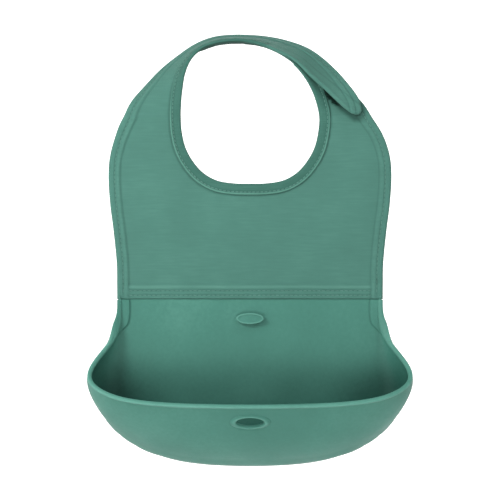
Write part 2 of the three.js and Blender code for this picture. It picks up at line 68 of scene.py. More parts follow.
# ---- driving dimensions, as in the CAD ------------------------------------------------------------
NECK_HALF_WIDTH = 50.1
SHOULDER_HALF_WIDTH = 88.6
SHOULDER_Z = -3.0
NECK_LOW_Z = -51.0
GUIDE_WIDTH = 20.0
RIGHT_SHOULDER = [
    ((-6, 15.8, 51.8), (-5.5, 33, 55)),
    ((6, 13.6, 50.1), (9.8, 32, 54.7)),
    ((18, 8, 45.4), (25.8, 27.4, 51.3)),
    ((31.6, 1.6, 35.9), (42, 21.6, 43.9)),
    ((39, 1, 27), (57, 15.6, 32.8)),
    ((44.6, 0.8, 17), (69.6, 8.4, 20)),
    ((48, 0.3, 7.5), (81.8, 3.4, 7.8)),
    ((NECK_HALF_WIDTH, 0, SHOULDER_Z), (SHOULDER_HALF_WIDTH, 0, SHOULDER_Z)),
]
NECK_CURVE_RIGHT = [(49.3, -14), (46.6, -25), (41.5, -34.5), (34, -43), (24, -48.6), (12, -50.7)]
LEFT_SHOULDER = [
    ((-NECK_HALF_WIDTH, 0, SHOULDER_Z), (-SHOULDER_HALF_WIDTH, 0, SHOULDER_Z)),
    ((-49.8, 0.7, 8), (-83.8, 6, 8.5)),
    ((-48.8, 2, 19), (-77.2, 16, 18.7)),
    ((-47.2, 3, 29.5), (-66.6, 26, 31.9)),
    ((-43.6, 4, 39), (-53.4, 32, 43)),
]
NECK_STRAP = [
    ((-37.2, 5, 46.2), (-39.4, 34, 52.4)),
    ((-25.5, 5.5, 51.2), (-26, 35, 57.4)),
    ((-12, 5.5, 52.9), (-12, 35, 58.8)),
    ((-3, 5, 52.5), (-1, 34.5, 58.6)),
    ((6, 4, 50.9), (11, 32.5, 57.6)),
]
CLOSURE_TAB = [
    ((17, 1.5, 46), (27, 27, 54.2)),
    ((32, -2, 37.8), (44, 20, 47.4)),
    ((43.6, -4, 26.4), (59, 12.5, 35.5)),
    ((55.2, -4.6, 15.8), (71, 5, 22)),
    ((65.6, -4.5, 5.8), (78.6, 0, 11)),
    ((75.6, -4.2, -2.0), (81.5, -2.9, 0)),
]
SIDE_EDGE = [
    (96.4, -122.7), (96.7, -108), (99, -85), (101.6, -64),
    (102.6, -44), (101, -29), (96, -15), (SHOULDER_HALF_WIDTH, SHOULDER_Z),
]
SIDE_AFTER = (81.8, 7.8)  # where the right shoulder's outer edge goes on to
SEAM_LOW_Z = -134.8
SEAM_HALF_WIDTH = 96.3
SEAM_ROWS_Z = (-128.7, -132.0)
SEAM_ROW_HALF_LENGTH = 88.0

RIM_HALF = [
    (94.6, -0.9, -132.5), (94.4, -1.3, -137), (94.5, -2, -148), (96.6, -6.5, -159.8), (102.9, -14, -169.4),
    (110.6, -24, -178.8), (114.9, -34, -188.2), (111.4, -43, -195.4), (100.6, -50, -201.4),
    (85, -54.4, -205.6), (57.8, -57.8, -208.2), (28.9, -59.2, -209.1),
]
RIM_CENTRE = (0, -59.6, -209.4)
BASE_HALF = [
    (94.2, -132.5), (94.4, -137), (94.5, -148), (95.6, -160), (97.8, -172), (100.2, -184),
    (102.2, -196), (103.4, -208), (101.3, -221), (94, -232.6), (76, -246.4), (42, -255),
]
BASE_CENTRE = (0, -257.1)
PANEL_HALF = 0.8
FLANGE_HALF = 0.55
PANEL_TOP_Z = -135.1
WALL_BULGE = 7.0
BULGE_FORWARD = -0.25
FULL_BULGE_HEIGHT = 40.0
BUTTON_Z = -148.8
HOLE_RIM_DISTANCE = 12.0
HOLE_HALF = (9.75, 4.5)
COLLAR_HALF = (14.5, 7.0)


# ---- curves ---------------------------------------------------------------------------------------
def lerp(a, b, t):
    return a + (b - a) * t


def unit(v):
    return v / np.maximum(np.linalg.norm(v, axis=-1, keepdims=True), 1e-12)


def smoothstep(low, high, x):
    t = np.clip((x - low) / (high - low), 0, 1)
    return t * t * (3 - 2 * t)


def eased(knots, x):
    """A height that eases from one (distance, height) knot to the next, level at each knot."""
    x = np.asarray(x, float)
    height = np.full(x.shape, float(knots[0][1]))
    for (x0, h0), (x1, h1) in zip(knots, knots[1:]):
        height += (h1 - h0) * smoothstep(x0, x1, x)
    return height


def centripetal(points, t):
    """Centripetal Catmull-Rom curve through points, at each t from 0 to 1."""
    points = np.asarray(points, float)
    t = np.clip(np.asarray(t, float), 0, 1)
    last = len(points) - 1
    place = t * last
    i = np.minimum(place.astype(int), last - 1)
    w = (place - i)[:, None]
    padded = np.vstack([2 * points[0] - points[1], points, 2 * points[-1] - points[-2]])
    p0, p1, p2, p3 = (padded[i + k] for k in range(4))
    gaps = [np.maximum(np.sqrt(np.linalg.norm(b - a, axis=1)), 1e-4)[:, None]
            for a, b in ((p0, p1), (p1, p2), (p2, p3))]
    g0, g1, g2 = gaps
    m1 = ((p1 - p0) / g0 - (p2 - p0) / (g0 + g1) + (p2 - p1) / g1) * g1
    m2 = ((p2 - p1) / g1 - (p3 - p1) / (g1 + g2) + (p3 - p2) / g2) * g1
    square = -3 * p1 + 3 * p2 - 2 * m1 - m2
    cube = 2 * p1 - 2 * p2 + m1 + m2
    return p1 + m1 * w + square * w**2 + cube * w**3


def uniform_spline(points, t):
    """Uniform Catmull-Rom curve through points, at each t from 0 to 1."""
    points = np.asarray(points, float)
    last = len(points) - 1
    place = np.clip(np.asarray(t, float), 0, 1) * last
    i = np.minimum(place.astype(int), last - 1)
    w = (place - i)[:, None]
    p0, p1, p2, p3 = (points[np.clip(i + k, 0, last)] for k in (-1, 0, 1, 2))
    m1, m2 = (p2 - p0) / 2, (p3 - p1) / 2
    return (2 * p1 - 2 * p2 + m1 + m2) * w**3 + (-3 * p1 + 3 * p2 - 2 * m1 - m2) * w**2 + m1 * w + p1


def arc_lengths(points):
    """Length along a line of points, at each of them."""
    return np.concatenate([[0], np.cumsum(np.linalg.norm(np.diff(points, axis=0), axis=1))])


def at_length(where, lengths, points):
    return np.array([np.interp(where, lengths, column) for column in np.asarray(points).T]).T


def bump_at(x, centre, width):
    """A smooth rise from 0 to 1 and back, round a centre."""
    return np.exp(-((x - centre) / width) ** 2)


# ---- neck ring ------------------------------------------------------------------------------------
def neck_curve_pairs():
    left = [(-x, z) for x, z in reversed(NECK_CURVE_RIGHT)]
    points = [(NECK_HALF_WIDTH, SHOULDER_Z), *NECK_CURVE_RIGHT, (0, NECK_LOW_Z), *left]
    points = np.array([*points, (-NECK_HALF_WIDTH, SHOULDER_Z)], float)
    pairs = []
    for before, (x, z), after in zip(points, points[1:], points[2:]):
        across = unit(np.array([before[1] - after[1], 0, after[0] - before[0]]))
        edge = np.array([x, 0, z])
        pairs.append((edge, edge + across * GUIDE_WIDTH))
    return pairs


NECK_PAIRS = neck_curve_pairs()
RING = [*RIGHT_SHOULDER, *NECK_PAIRS, *LEFT_SHOULDER, *NECK_STRAP, *CLOSURE_TAB]
PAIR_STEP = 3e-3  # for directions along the ring
SAME_PAIR = 1e-9
RIGHT_BASE = len(RIGHT_SHOULDER) - 1
LEFT_START = len(RIGHT_SHOULDER) + len(NECK_PAIRS)
STRAP_HINGE = LEFT_START + len(LEFT_SHOULDER)
TAB_HINGE = STRAP_HINGE + len(NECK_STRAP)
TAB_TIP = len(RING) - 1
EDGE_POINTS = [edge for edge, _ in RING]
OUTER_POINTS = [outer for _, outer in RING]
# Above the flat part the outer edge runs on from the bib's sides, not from the neck's guides.
RIGHT_GUIDES = [(x, 0, z) for x, z in SIDE_EDGE[-3:-1][::-1]]
LEFT_GUIDES = [(-x, 0, z) for x, z in SIDE_EDGE[-3:-1]]
RIGHT_OUTER = [*[outer for _, outer in RIGHT_SHOULDER], *RIGHT_GUIDES]
LEFT_OUTER = [*LEFT_GUIDES, *OUTER_POINTS[LEFT_START:]]


def outer_at(pairs, shift=0.0):
    """Outer edge at each pair number, moved along its own curve by shift pairs."""
    outer = centripetal(OUTER_POINTS, (pairs + shift) / TAB_TIP)
    right, left = pairs <= RIGHT_BASE, pairs >= LEFT_START
    on_left = pairs[left] - LEFT_START + len(LEFT_GUIDES)
    outer[right] = centripetal(RIGHT_OUTER, (pairs[right] + shift) / (len(RIGHT_OUTER) - 1))
    outer[left] = centripetal(LEFT_OUTER, (on_left + shift) / (len(LEFT_OUTER) - 1))
    return outer


def edge_at(pairs, shift=0.0):
    return centripetal(EDGE_POINTS, (pairs + shift) / TAB_TIP)


def ring_at(pairs):
    """Edge point, unit vector across, width and outward normal of the ring at each pair number."""
    pairs = np.asarray(pairs, float)
    edge, outer = edge_at(pairs), outer_at(pairs)
    along = sum(unit(line(pairs, PAIR_STEP) - line(pairs, -PAIR_STEP)) for line in (edge_at, outer_at))
    flat = (pairs >= RIGHT_BASE) & (pairs <= LEFT_START)
    for v in (edge, outer, along):
        v[flat, 1] = 0
    across = outer - edge
    width = np.linalg.norm(across, axis=1)
    across = unit(across)
    normal = unit(np.cross(along, across))
    return edge, across, width, normal


SIDE_FINE = uniform_spline([*SIDE_EDGE, SIDE_AFTER], np.linspace(0, 1 - 1 / len(SIDE_EDGE), 400))


def side_x(z):
    """Half width of the flat cloth at each height, and the cosine of its edge's slope."""
    x = np.interp(z, SIDE_FINE[:, 1], SIDE_FINE[:, 0])
    x = np.where(z < SIDE_FINE[0, 1], SEAM_HALF_WIDTH, x)
    slope = np.gradient(SIDE_FINE[:, 0], SIDE_FINE[:, 1])
    slope = np.where(z < SIDE_FINE[0, 1], 0, np.interp(z, SIDE_FINE[:, 1], slope))
    return x, 1 / np.sqrt(1 + slope**2)


def left_swell(x, z):
    """How much further out the bib's left side and shoulder reach than its right side."""
    return np.where(x < 0, 2.9 * bump_at(z, 4, 18) + 0.9 * bump_at(z, -5, 8), 0.0)


# ---- mesh helpers ---------------------------------------------------------------------------------
def mesh_object(name, points, faces, material, marks=None, sharp=None):
    """An object from points in millimetres; marks are one number per point, the painted light and shade that
    the material adds to its colour.
    """
    mesh = bpy.data.meshes.new(name)
    mesh.from_pydata((np.asarray(points, float) * MM).tolist(), [], [list(map(int, f)) for f in faces])
    mesh.validate()
    if marks is not None:
        layer = mesh.attributes.new("relief", "FLOAT", "POINT")
        layer.data.foreach_set("value", np.asarray(marks, np.float32).ravel())
    mesh.polygons.foreach_set("use_smooth", np.ones(len(mesh.polygons), bool))
    if sharp is not None:
        mesh.set_sharp_from_angle(angle=math.radians(sharp))
    piece = bpy.data.objects.new(name, mesh)
    bpy.context.scene.collection.objects.link(piece)
    mesh.materials.append(material)
    return piece


def loop_faces(stations, ring, closed_ends=True):
    """Faces of a closed section of ring points swept through stations, with both ends capped."""
    i, j = np.meshgrid(np.arange(stations - 1), np.arange(ring), indexing="ij")
    a = i * ring + j
    b = i * ring + (j + 1) % ring
    faces = np.stack([a, a + ring, b + ring, b], axis=-1).reshape(-1, 4).tolist()
    if closed_ends:
        faces.append(list(range(ring)))
        faces.append(list(reversed(range((stations - 1) * ring, stations * ring))))
    return faces


def strip_capped(stations, front, back):
    """Like loop_faces, for a flat section of front points and then back points: ends are ladders."""
    ring = front + back
    faces = loop_faces(stations, ring, closed_ends=False)
    for first, flip in ((0, False), ((stations - 1) * ring, True)):
        low, high = 0, front - 1
        other = ring - 1
        rungs = []
        while low < high or other > front:
            if other > front and (low >= high or low / (front - 1) > (ring - 1 - other) / (back - 1)):
                rungs.append([first + low, first + other - 1, first + other])
                other -= 1
            else:
                rungs.append([first + low, first + low + 1, first + other])
                low += 1
        faces += [list(reversed(r)) if flip else r for r in rungs]
    return faces


def outward(piece):
    """Turns a closed mesh's faces to point out."""
    mesh = piece.data
    mesh.calc_loop_triangles()
    count = len(mesh.loop_triangles)
    triangles = np.zeros(count * 3, np.int32)
    points = np.zeros(len(mesh.vertices) * 3, np.float32)
    mesh.loop_triangles.foreach_get("vertices", triangles)
    mesh.vertices.foreach_get("co", points)
    corners = points.reshape(-1, 3)[triangles.reshape(-1, 3)].astype(float)
    volume = np.einsum("ij,ij->i", corners[:, 0], np.cross(corners[:, 1], corners[:, 2])).sum()
    if volume < 0:
        mesh.flip_normals()
    return piece


def copies_of(faces, count, size):
    """The faces of one shape of size points, for count shapes in a row."""
    return [[v + k * size for v in face] for k in range(count) for face in faces]


def circle(count):
    return np.linspace(0, 2 * math.pi, count, endpoint=False)


def spaced(*stretches):
    """Numbers from low to high in each (low, high, count) stretch, ends shared."""
    values = [np.linspace(low, high, count + 1) for low, high, count in stretches]
    return np.concatenate([values[0], *[v[1:] for v in values[1:]]])


# ---- materials ------------------------------------------------------------------------------------
def srgb(r, g, b):
    channel = np.array([r, g, b]) / 255
    linear = np.where(channel <= 0.04045, channel / 12.92, ((channel + 0.055) / 1.055) ** 2.4)
    return (*linear.tolist(), 1.0)


class Nodes:
    """A material's node tree with short calls for making and joining nodes."""

    def __init__(self, name, roughness, **sockets):
        self.material = bpy.data.materials.new(name)
        self.material.use_nodes = True
        self.tree = self.material.node_tree
        self.shader = self.tree.nodes["Principled BSDF"]
        self.shader.inputs["Roughness"].default_value = roughness
        for socket, value in sockets.items():
            self.shader.inputs[socket.replace("_", " ")].default_value = value
        self.place = self.node("ShaderNodeTexCoord").outputs["Object"]

    def feed(self, socket, value):
        if isinstance(value, bpy.types.NodeSocket):
            self.tree.links.new(value, socket)
        else:
            socket.default_value = value

    def node(self, kind, inputs=None, **settings):
        node = self.tree.nodes.new(kind)
        for key, value in settings.items():
            setattr(node, key, value)
        for key, value in (inputs or {}).items():
            self.feed(node.inputs[key], value)
        return node

    def math(self, operation, a, b=0.0, c=0.0):
        return self.node("ShaderNodeMath", {0: a, 1: b, 2: c}, operation=operation).outputs[0]

    def noise(self, scale, detail=3.0, roughness=0.5, vector=None):
        inputs = {"Vector": vector or self.place, "Scale": scale, "Detail": detail, "Roughness": roughness}
        return self.node("ShaderNodeTexNoise", inputs).outputs["Fac"]

    def span(self, value, low, high, to_low, to_high):
        inputs = {"Value": value, 1: low, 2: high, 3: to_low, 4: to_high}
        return self.node("ShaderNodeMapRange", inputs).outputs["Result"]

    def mix(self, factor, a, b):
        return self.node("ShaderNodeMix", {0: factor, 6: a, 7: b}, data_type="RGBA").outputs[2]

    def bump(self, height, distance, strength, under=None):
        inputs = {"Height": height, "Distance": distance, "Strength": strength}
        if under is not None:
            inputs["Normal"] = under
        return self.node("ShaderNodeBump", inputs).outputs[0]

    def join(self, value, socket):
        self.tree.links.new(value, self.shader.inputs[socket])

    def colour(self, shade, dark, base, light):
        """Base colour from a shade of -1 to 1, with the mesh's relief marks of painted light and shade added.
        """
        relief = self.node("ShaderNodeAttribute", attribute_name="relief").outputs["Fac"]
        shade = self.math("ADD", shade, relief)
        low = self.mix(self.span(shade, -1, 0, 0, 1), dark, base)
        self.join(self.mix(self.span(shade, 0, 1, 0, 1), low, light), "Base Color")


def cloth_material(name, dark, base, light, pitch=0.52):
    """Plain weave: warp and weft threads pitch millimetres apart, uneven yarn, worn ridges."""
    roughness = 0.8
    tree = Nodes(name, roughness, Sheen_Weight=0.02, Sheen_Roughness=0.6, Specular_IOR_Level=0.15)
    parts = tree.node("ShaderNodeSeparateXYZ", {"Vector": tree.place})
    x, y, z = (parts.outputs[k] for k in range(3))
    climb = tree.math("ADD", z, y)
    wobble = tree.span(tree.noise(90.0, 2.0), 0, 1, -0.9, 0.9)
    turns = 2 * math.pi / (pitch * MM)
    warp, weft = (tree.math("SINE", tree.math("MULTIPLY_ADD", way, turns, wobble)) for way in (x, climb))
    half_warp, half_weft = (tree.math("SINE", tree.math("MULTIPLY", way, turns / 2)) for way in (x, climb))
    threads = tree.math("ADD", tree.math("MULTIPLY", warp, weft), tree.math("MULTIPLY", half_warp, half_weft))
    mottle = tree.noise(26.0, 4.0, 0.6)
    stretch = {"Vector": tree.place, "Scale": (60.0, 60.0, 700.0)}
    slub = tree.noise(1.0, vector=tree.node("ShaderNodeMapping", stretch).outputs[0])
    shade = tree.math("ADD", tree.span(mottle, 0.3, 0.7, -0.1, 0.1), tree.span(slub, 0.3, 0.7, -0.07, 0.07))
    shade = tree.math("ADD", shade, tree.math("MULTIPLY", threads, 0.05))
    tree.colour(shade, dark, base, light)
    worn = tree.math("ADD", mottle, tree.math("MULTIPLY", threads, 0.08))
    tree.join(tree.span(worn, 0.2, 0.8, roughness - 0.06, roughness + 0.08), "Roughness")
    fine = tree.bump(threads, 0.00006, 0.6)
    tree.join(tree.bump(tree.noise(160.0, 3.0, 0.55), 0.0003, 0.35, fine), "Normal")
    return tree.material


def silicone_material(name, dark, base, light):
    tree = Nodes(name, 0.55, Specular_IOR_Level=0.12)
    cloud, speck = tree.noise(14.0), tree.noise(420.0, 2.0, 0.6)
    shade = tree.math("ADD", tree.span(cloud, 0.3, 0.7, -0.15, 0.15), tree.span(speck, 0.3, 0.7, -0.06, 0.06))
    tree.colour(shade, dark, base, light)
    tree.join(tree.span(tree.noise(45.0, 4.0, 0.65), 0.3, 0.7, 0.46, 0.58), "Roughness")
    tree.join(tree.bump(tree.noise(2600.0, 2.0, 0.6), 0.00002, 0.5), "Normal")
    return tree.material


def thread_material(name, dark, light):
    """Twisted sewing thread: fine stripes round each stitch and a slight gloss."""
    tree = Nodes(name, 0.6, Sheen_Weight=0.03, Specular_IOR_Level=0.25)
    turned = tree.node("ShaderNodeMapping", {"Vector": tree.place, "Rotation": (0.0, math.radians(35), 0.0)})
    inputs = {"Vector": turned.outputs[0], "Scale": 900.0, "Distortion": 0.6, "Detail": 1.0}
    twist = tree.node("ShaderNodeTexWave", inputs).outputs["Fac"]
    shade = tree.math("MULTIPLY_ADD", tree.noise(120.0), 0.5, tree.math("MULTIPLY", twist, 0.5))
    tree.join(tree.mix(shade, dark, light), "Base Color")
    tree.join(tree.bump(twist, 0.00005, 0.7), "Normal")
    return tree.material


def pile_material(name, dark, light):
    tree = Nodes(name, 0.9, Specular_IOR_Level=0.1)
    cloud = tree.math("MULTIPLY", tree.noise(60.0), 0.3)
    shade = tree.math("MULTIPLY_ADD", tree.noise(700.0, 4.0, 0.7), 0.7, cloud)
    tree.join(tree.mix(shade, dark, light), "Base Color")
    tree.join(tree.bump(tree.noise(1500.0, 3.0, 0.7), 0.0002, 0.6), "Normal")
    return tree.material


def floor_material():
    glow = {"Emission_Color": (1, 1, 1, 1), "Emission_Strength": 0.55}
    tree = Nodes("pale_floor", 0.9, Specular_IOR_Level=0.2, **glow)
    tree.join(tree.mix(tree.noise(2.0), (0.86, 0.86, 0.855, 1), (0.9, 0.9, 0.895, 1)), "Base Color")
    return tree.material


FABRIC = cloth_material("upper_cloth", srgb(25, 55, 48), srgb(47, 84, 75), srgb(76, 114, 103))
LINING = cloth_material("lining_cloth", srgb(21, 50, 43), srgb(40, 75, 66), srgb(66, 104, 94))
BINDING = cloth_material("binding_cloth", srgb(20, 48, 41), srgb(37, 73, 64), srgb(76, 118, 106), pitch=0.4)
SILICONE = silicone_material("moulded_silicone", srgb(22, 57, 49), srgb(45, 87, 77), srgb(76, 120, 108))
THREAD = thread_material("sewing_thread", srgb(32, 66, 58), srgb(68, 110, 99))
PILE = pile_material("hook_and_loop_tape", srgb(8, 26, 21), srgb(18, 44, 37))

# ---- cloth relief ---------------------------------------------------------------------------------
PLY = 0.75  # from the middle surface to a layer's outer face
# Heights of the front face over the middle surface, at distances from the outer edge: a turned hem
# that is stitched at 4.5 and ends at 8.8.
HEM = [(0, 0.1), (0.5, 0.85), (1.5, 1.35), (3.7, 1.3), (4.5, 0.8), (5.4, 1.25), (7.6, 1.3), (8.9, 0.62),
       (10.5, PLY)]
HEM_STITCH = 4.5
HEM_END = 8.9
# Heights over the middle surface from the bottom of the sewn seam upwards.
SEAM = [(0, 0.86), (0.6, 1.55), (1.6, 1.62), (2.8, 1.15), (4.0, 1.55), (5.1, 1.5), (6.1, 1.1), (7.3, 1.6),
        (8.4, 1.6), (10.9, 0.58), (12.6, PLY)]
EDGE_SETBACK = 0.9  # the cloth's raw neck edge sits this far inside the binding's fold
UNDER_BINDING = [(EDGE_SETBACK, 0.35), (2.5, 0.5), (8.0, 0.55), (9.2, 0.68), (11, PLY)]
# A turned neck edge where there is no binding: the closure tab.
TURNED = [(0, 0.1), (0.5, 0.75), (2.0, 1.45), (3.4, 1.0), (4.6, 0.8), (6, PLY)]
LINING_EDGE = [(0, 0.1), (0.5, 0.55), (1.2, 0.9), (3, 1.7)]  # the most that the lining rises there
LINING_RELIEF = 0.55  # share of the front's relief that shows through on the lining
OFF_SEAM = 99.0  # height over the seam's foot that stands for anywhere off the flat part
# The ripple's waves: turns along x and z in radians a millimetre, phase and weight.
RIPPLE_WAVES = [(0.052, 0.021, 0.3, 1.0), (-0.031, 0.058, 1.9, 0.9), (0.094, -0.047, 4.0, 0.55),
                (0.024, 0.118, 2.6, 0.5), (0.145, 0.083, 5.1, 0.3)]
RIPPLE_DEPTH = 0.55
# Painted shade in the grooves across the seam: height over its foot, and depth of the mark.
SEAM_GROOVES = [(2.8, 0.22), (6.1, 0.22), (0.0, 0.5), (11.0, 0.25)]
GROOVE_WIDTH = 0.55


def ripple(x, z):
    """Gentle unevenness of hanging cloth, from -1 to 1."""
    total = sum(weight * np.sin(a * x + b * z + c) for a, b, c, weight in RIPPLE_WAVES)
    return total / sum(weight for *_, weight in RIPPLE_WAVES)


def pucker(along, distance, start, depth=0.16, pitch=6.3):
    """Little folds that run out from a stitched line: along is the way along the line."""
    uneven = 0.6 + 0.4 * np.sin(along * 0.19 + 1.3) * np.sin(along * 0.083)
    folds = np.sin(along * 2 * math.pi / pitch + 1.1 * np.sin(along * 0.11))
    begun = smoothstep(start - 0.3, start + 0.8, distance)
    over = smoothstep(start + 0.8, start + 5.0, distance)
    return depth * uneven * folds * begun * (1 - over)


def front_height(d_out, d_neck, above_seam, along, points, neck):
    """Height of the cloth's outer face over its middle surface."""
    on_hem = smoothstep(0.3, 1.2, d_out) * (1 - smoothstep(HEM_END - 1.3, HEM_END, d_out))
    hem = eased(HEM, d_out) + 0.45 * smoothstep(13.0, 8.0, above_seam) * on_hem
    seam = eased(SEAM, above_seam) - PLY
    height = hem + seam * smoothstep(HEM_END - 0.9, HEM_END + 0.4, d_out)
    height = lerp(np.minimum(height, SEAM[0][1]), height, smoothstep(-0.05, 0.7, above_seam))
    height += eased(neck, d_neck) - PLY
    inside = smoothstep(9, 22, d_out) * smoothstep(10, 22, d_neck) * smoothstep(12, 24, above_seam)
    height += RIPPLE_DEPTH * ripple(points[..., 0], points[..., 2]) * inside
    height += pucker(along, d_neck, 8.4) * smoothstep(8, 12, d_out)
    height += pucker(along, d_out, HEM_END, depth=0.08, pitch=5.1) * smoothstep(11, 14, d_neck)
    return np.maximum(height, HEM[0][1])


def groove_shade_ridge_highlight(d_out, d_neck, above_seam):
    """Painted shade in the grooves and painted highlight on the ridges, which the material adds to its
    colour.
    """
    groove = 0.22 * bump_at(d_out, HEM_STITCH, GROOVE_WIDTH) + 0.3 * bump_at(d_out, HEM_END + 0.1, 0.5)
    groove += 0.35 * bump_at(d_neck, 8.9, 0.6)
    inner = smoothstep(HEM_END - 0.9, HEM_END + 0.4, d_out)
    groove += inner * sum(depth * bump_at(above_seam, row, GROOVE_WIDTH) for row, depth in SEAM_GROOVES)
    return 0.22 * bump_at(above_seam, 9.0, 0.8) * inner + 0.08 * bump_at(d_out, 6.6, 0.9) - groove


def tab_shadow_mark(points):
    """Painted shadow along the lower edge of the closure tab, on the right shoulder."""
    line = np.array([edge for edge, _ in CLOSURE_TAB[1:]], float)
    x = points[..., 0]
    below = np.interp(x, line[:, 0], line[:, 2]) - points[..., 2]
    on_shoulder = smoothstep(31, 38, x) * (1 - smoothstep(78, 86, x))
    width = 2.5 + 3.5 * smoothstep(36, 55, x)
    return 0.95 * on_shoulder * (1 - smoothstep(0.25, 1.0, below / width)) * smoothstep(-14, -6, below)


# ---- flat and ring stations of the upper ----------------------------------------------------------
SAG = 1.5  # of the lining under the strap
CORNER_SHARE = 0.31  # of the way round the neck curve at which the grid meets the seam's corner
STRIP = 10.5  # width of the fine rows along each edge
SHOULDER_CUT = STRAP_HINGE - 0.5  # the upper's cloth ends and the strap's begins
TAB_CUT = TAB_HINGE - 0.5
WIDEST_STRIP = 0.45  # of the cloth's width
LEAST_SLANT = 0.6
LAYER_GAP = 0.04  # from the middle surface to each layer's inner face
FLANGE_ROOM = 0.58  # more along the seam, for the silicone flange between the layers
LEAST_HEIGHT = 0.08


def outer_path(share):
    """Outline of the flat cloth, from the right shoulder round the seam to the left, and a line inside it."""
    side = np.vstack([SIDE_FINE[::-1], [[SEAM_HALF_WIDTH, SEAM_LOW_Z]]])
    lengths = arc_lengths(side)
    from_shoulder = np.where(share > 0.5, 1 - share, share)
    x, z = at_length(np.minimum(from_shoulder / CORNER_SHARE, 1) * lengths[-1], lengths, side).T
    on_seam = from_shoulder > CORNER_SHARE
    across_seam = (0.5 - from_shoulder) / (0.5 - CORNER_SHARE)
    x = np.where(on_seam, SEAM_HALF_WIDTH * across_seam, x)
    z = np.where(on_seam, SEAM_LOW_Z, z)
    height = SHOULDER_Z - SEAM_LOW_Z
    inner_z = SHOULDER_Z + (z - SHOULDER_Z) * (height - STRIP) / height
    half, cosine = side_x(inner_z)
    turn = np.where(share > 0.5, -1, 1)
    x = x + left_swell(turn, z)
    inner_x = half - STRIP / cosine + left_swell(turn, inner_z)
    inner_x = np.where(on_seam, (SEAM_HALF_WIDTH - STRIP) * across_seam, inner_x)
    return tuple(np.stack([a * turn, np.zeros_like(a), b], axis=1) for a, b in ((x, z), (inner_x, inner_z)))


def smoothed(values, reach):
    """Moving average along the first axis, with the ends held."""
    kernel = np.ones(2 * reach + 1) / (2 * reach + 1)
    padded = np.concatenate([np.repeat(values[:1], reach, 0), values, np.repeat(values[-1:], reach, 0)])
    return np.stack([np.convolve(padded[:, k], kernel, "valid") for k in range(values.shape[1])], axis=1)


def slant_of(across, line):
    """Sine of the angle between the ring's across direction and a line along it."""
    return np.linalg.norm(np.cross(across, unit(np.gradient(line, axis=0))), axis=1)


def stations_at(pairs, edge, outer, across, normal, flat, least_slant=0.0):
    """Arrays along the ring by name; the slants turn distances across it into distances off an edge."""
    slant = np.maximum(slant_of(across, outer), least_slant)
    neck_slant = np.maximum(slant_of(across, edge), least_slant)
    return {"pairs": pairs, "edge": edge, "outer": outer, "across": across, "normal": normal, "flat": flat,
            "slant": slant, "neck_slant": neck_slant}


def with_strips(part):
    """Adds the way along the neck edge and the inner ends of the fine strips along both edges."""
    most = WIDEST_STRIP * np.linalg.norm(part["outer"] - part["edge"], axis=1)
    near = np.minimum(STRIP / part["neck_slant"], most)[:, None]
    far = np.minimum(STRIP / part["slant"], most)[:, None]
    return {**part, "along": arc_lengths(part["edge"]), "near": part["edge"] + part["across"] * near,
            "inset": part["outer"] - part["across"] * far}


def upper_stations():
    """Stations from the right shoulder's free end to the cut at the strap, as a dictionary of arrays."""
    right = np.linspace(0, RIGHT_BASE, 92)
    shares = spaced((0, CORNER_SHARE, 108), (CORNER_SHARE, 1 - CORNER_SHARE, 150), (1 - CORNER_SHARE, 1, 108))
    left = np.linspace(LEFT_START, SHOULDER_CUT, 60)
    pairs = np.concatenate([right[:-1], lerp(RIGHT_BASE, LEFT_START, shares), left[1:]])
    edge, across, width, normal = ring_at(pairs)
    outer = edge + across * width[:, None]
    flat = (pairs >= RIGHT_BASE) & (pairs <= LEFT_START)
    outer[:, 0] -= np.where(pairs > LEFT_START, left_swell(outer[:, 0], outer[:, 2]), 0)
    outer[flat], inner_line = outer_path(shares)
    stations = with_strips(stations_at(pairs, edge, outer, across, unit(smoothed(normal, 2)), flat))
    stations["inset"][flat] = inner_line
    return stations


def section_points(part, rows):
    """Middle-surface points for rows of (region, distance): near the neck, between, near the outer edge."""
    points = []
    for region, distance in rows:
        if region == "neck":
            points.append(lerp(part["edge"], part["near"], distance / STRIP))
        elif region == "outer":
            points.append(lerp(part["outer"], part["inset"], distance / STRIP))
        else:
            points.append(lerp(part["near"], part["inset"], distance))
    return np.stack(points, axis=1)


def fine_rows(start, middle):
    rows = [("neck", d) for d in spaced((start, STRIP, 18))]
    rows += [("middle", t) for t in np.linspace(0, 1, middle + 2)[1:-1]]
    return rows + [("outer", d) for d in spaced((STRIP, 1.6, 18), (1.6, 0, 6))]


def coarse_rows(start):
    rows = [("neck", start), ("neck", 4.0), ("neck", STRIP)]
    rows += [("middle", t) for t in np.linspace(0, 1, 6)[1:-1]]
    return rows + [("outer", STRIP), ("outer", 5.0), ("outer", 1.5), ("outer", 0.4), ("outer", 0.0)]


def distances(part, points):
    """Distance of each point from the outer edge and the neck edge, and its height over the seam's foot."""
    flat = part["flat"][:, None]
    x, z = points[..., 0], points[..., 2]
    half, cosine = side_x(z)
    on_flat = (half + left_swell(x, z) - np.abs(x)) * cosine
    to_outer = np.linalg.norm(points - part["outer"][:, None], axis=2) * part["slant"][:, None]
    to_neck = np.linalg.norm(points - part["edge"][:, None], axis=2) * part["neck_slant"][:, None]
    return np.where(flat, on_flat, to_outer), to_neck, np.where(flat, z - SEAM_LOW_Z, OFF_SEAM)


def on_strap(pairs):
    """1 along the neck strap, where its underside hangs free, and 0 off it."""
    window = smoothstep(STRAP_HINGE - 0.35, STRAP_HINGE + 0.4, pairs)
    return window * (1 - smoothstep(STRAP_HINGE + 2.4, STRAP_HINGE + 3.6, pairs))


def sag(pairs, distance):
    """How far the lining hangs below the strap's neck edge, behind the fold of the binding."""
    return SAG * on_strap(pairs) * smoothstep(0.6, 3.4, distance) * (1 - smoothstep(8.0, 19.0, distance))


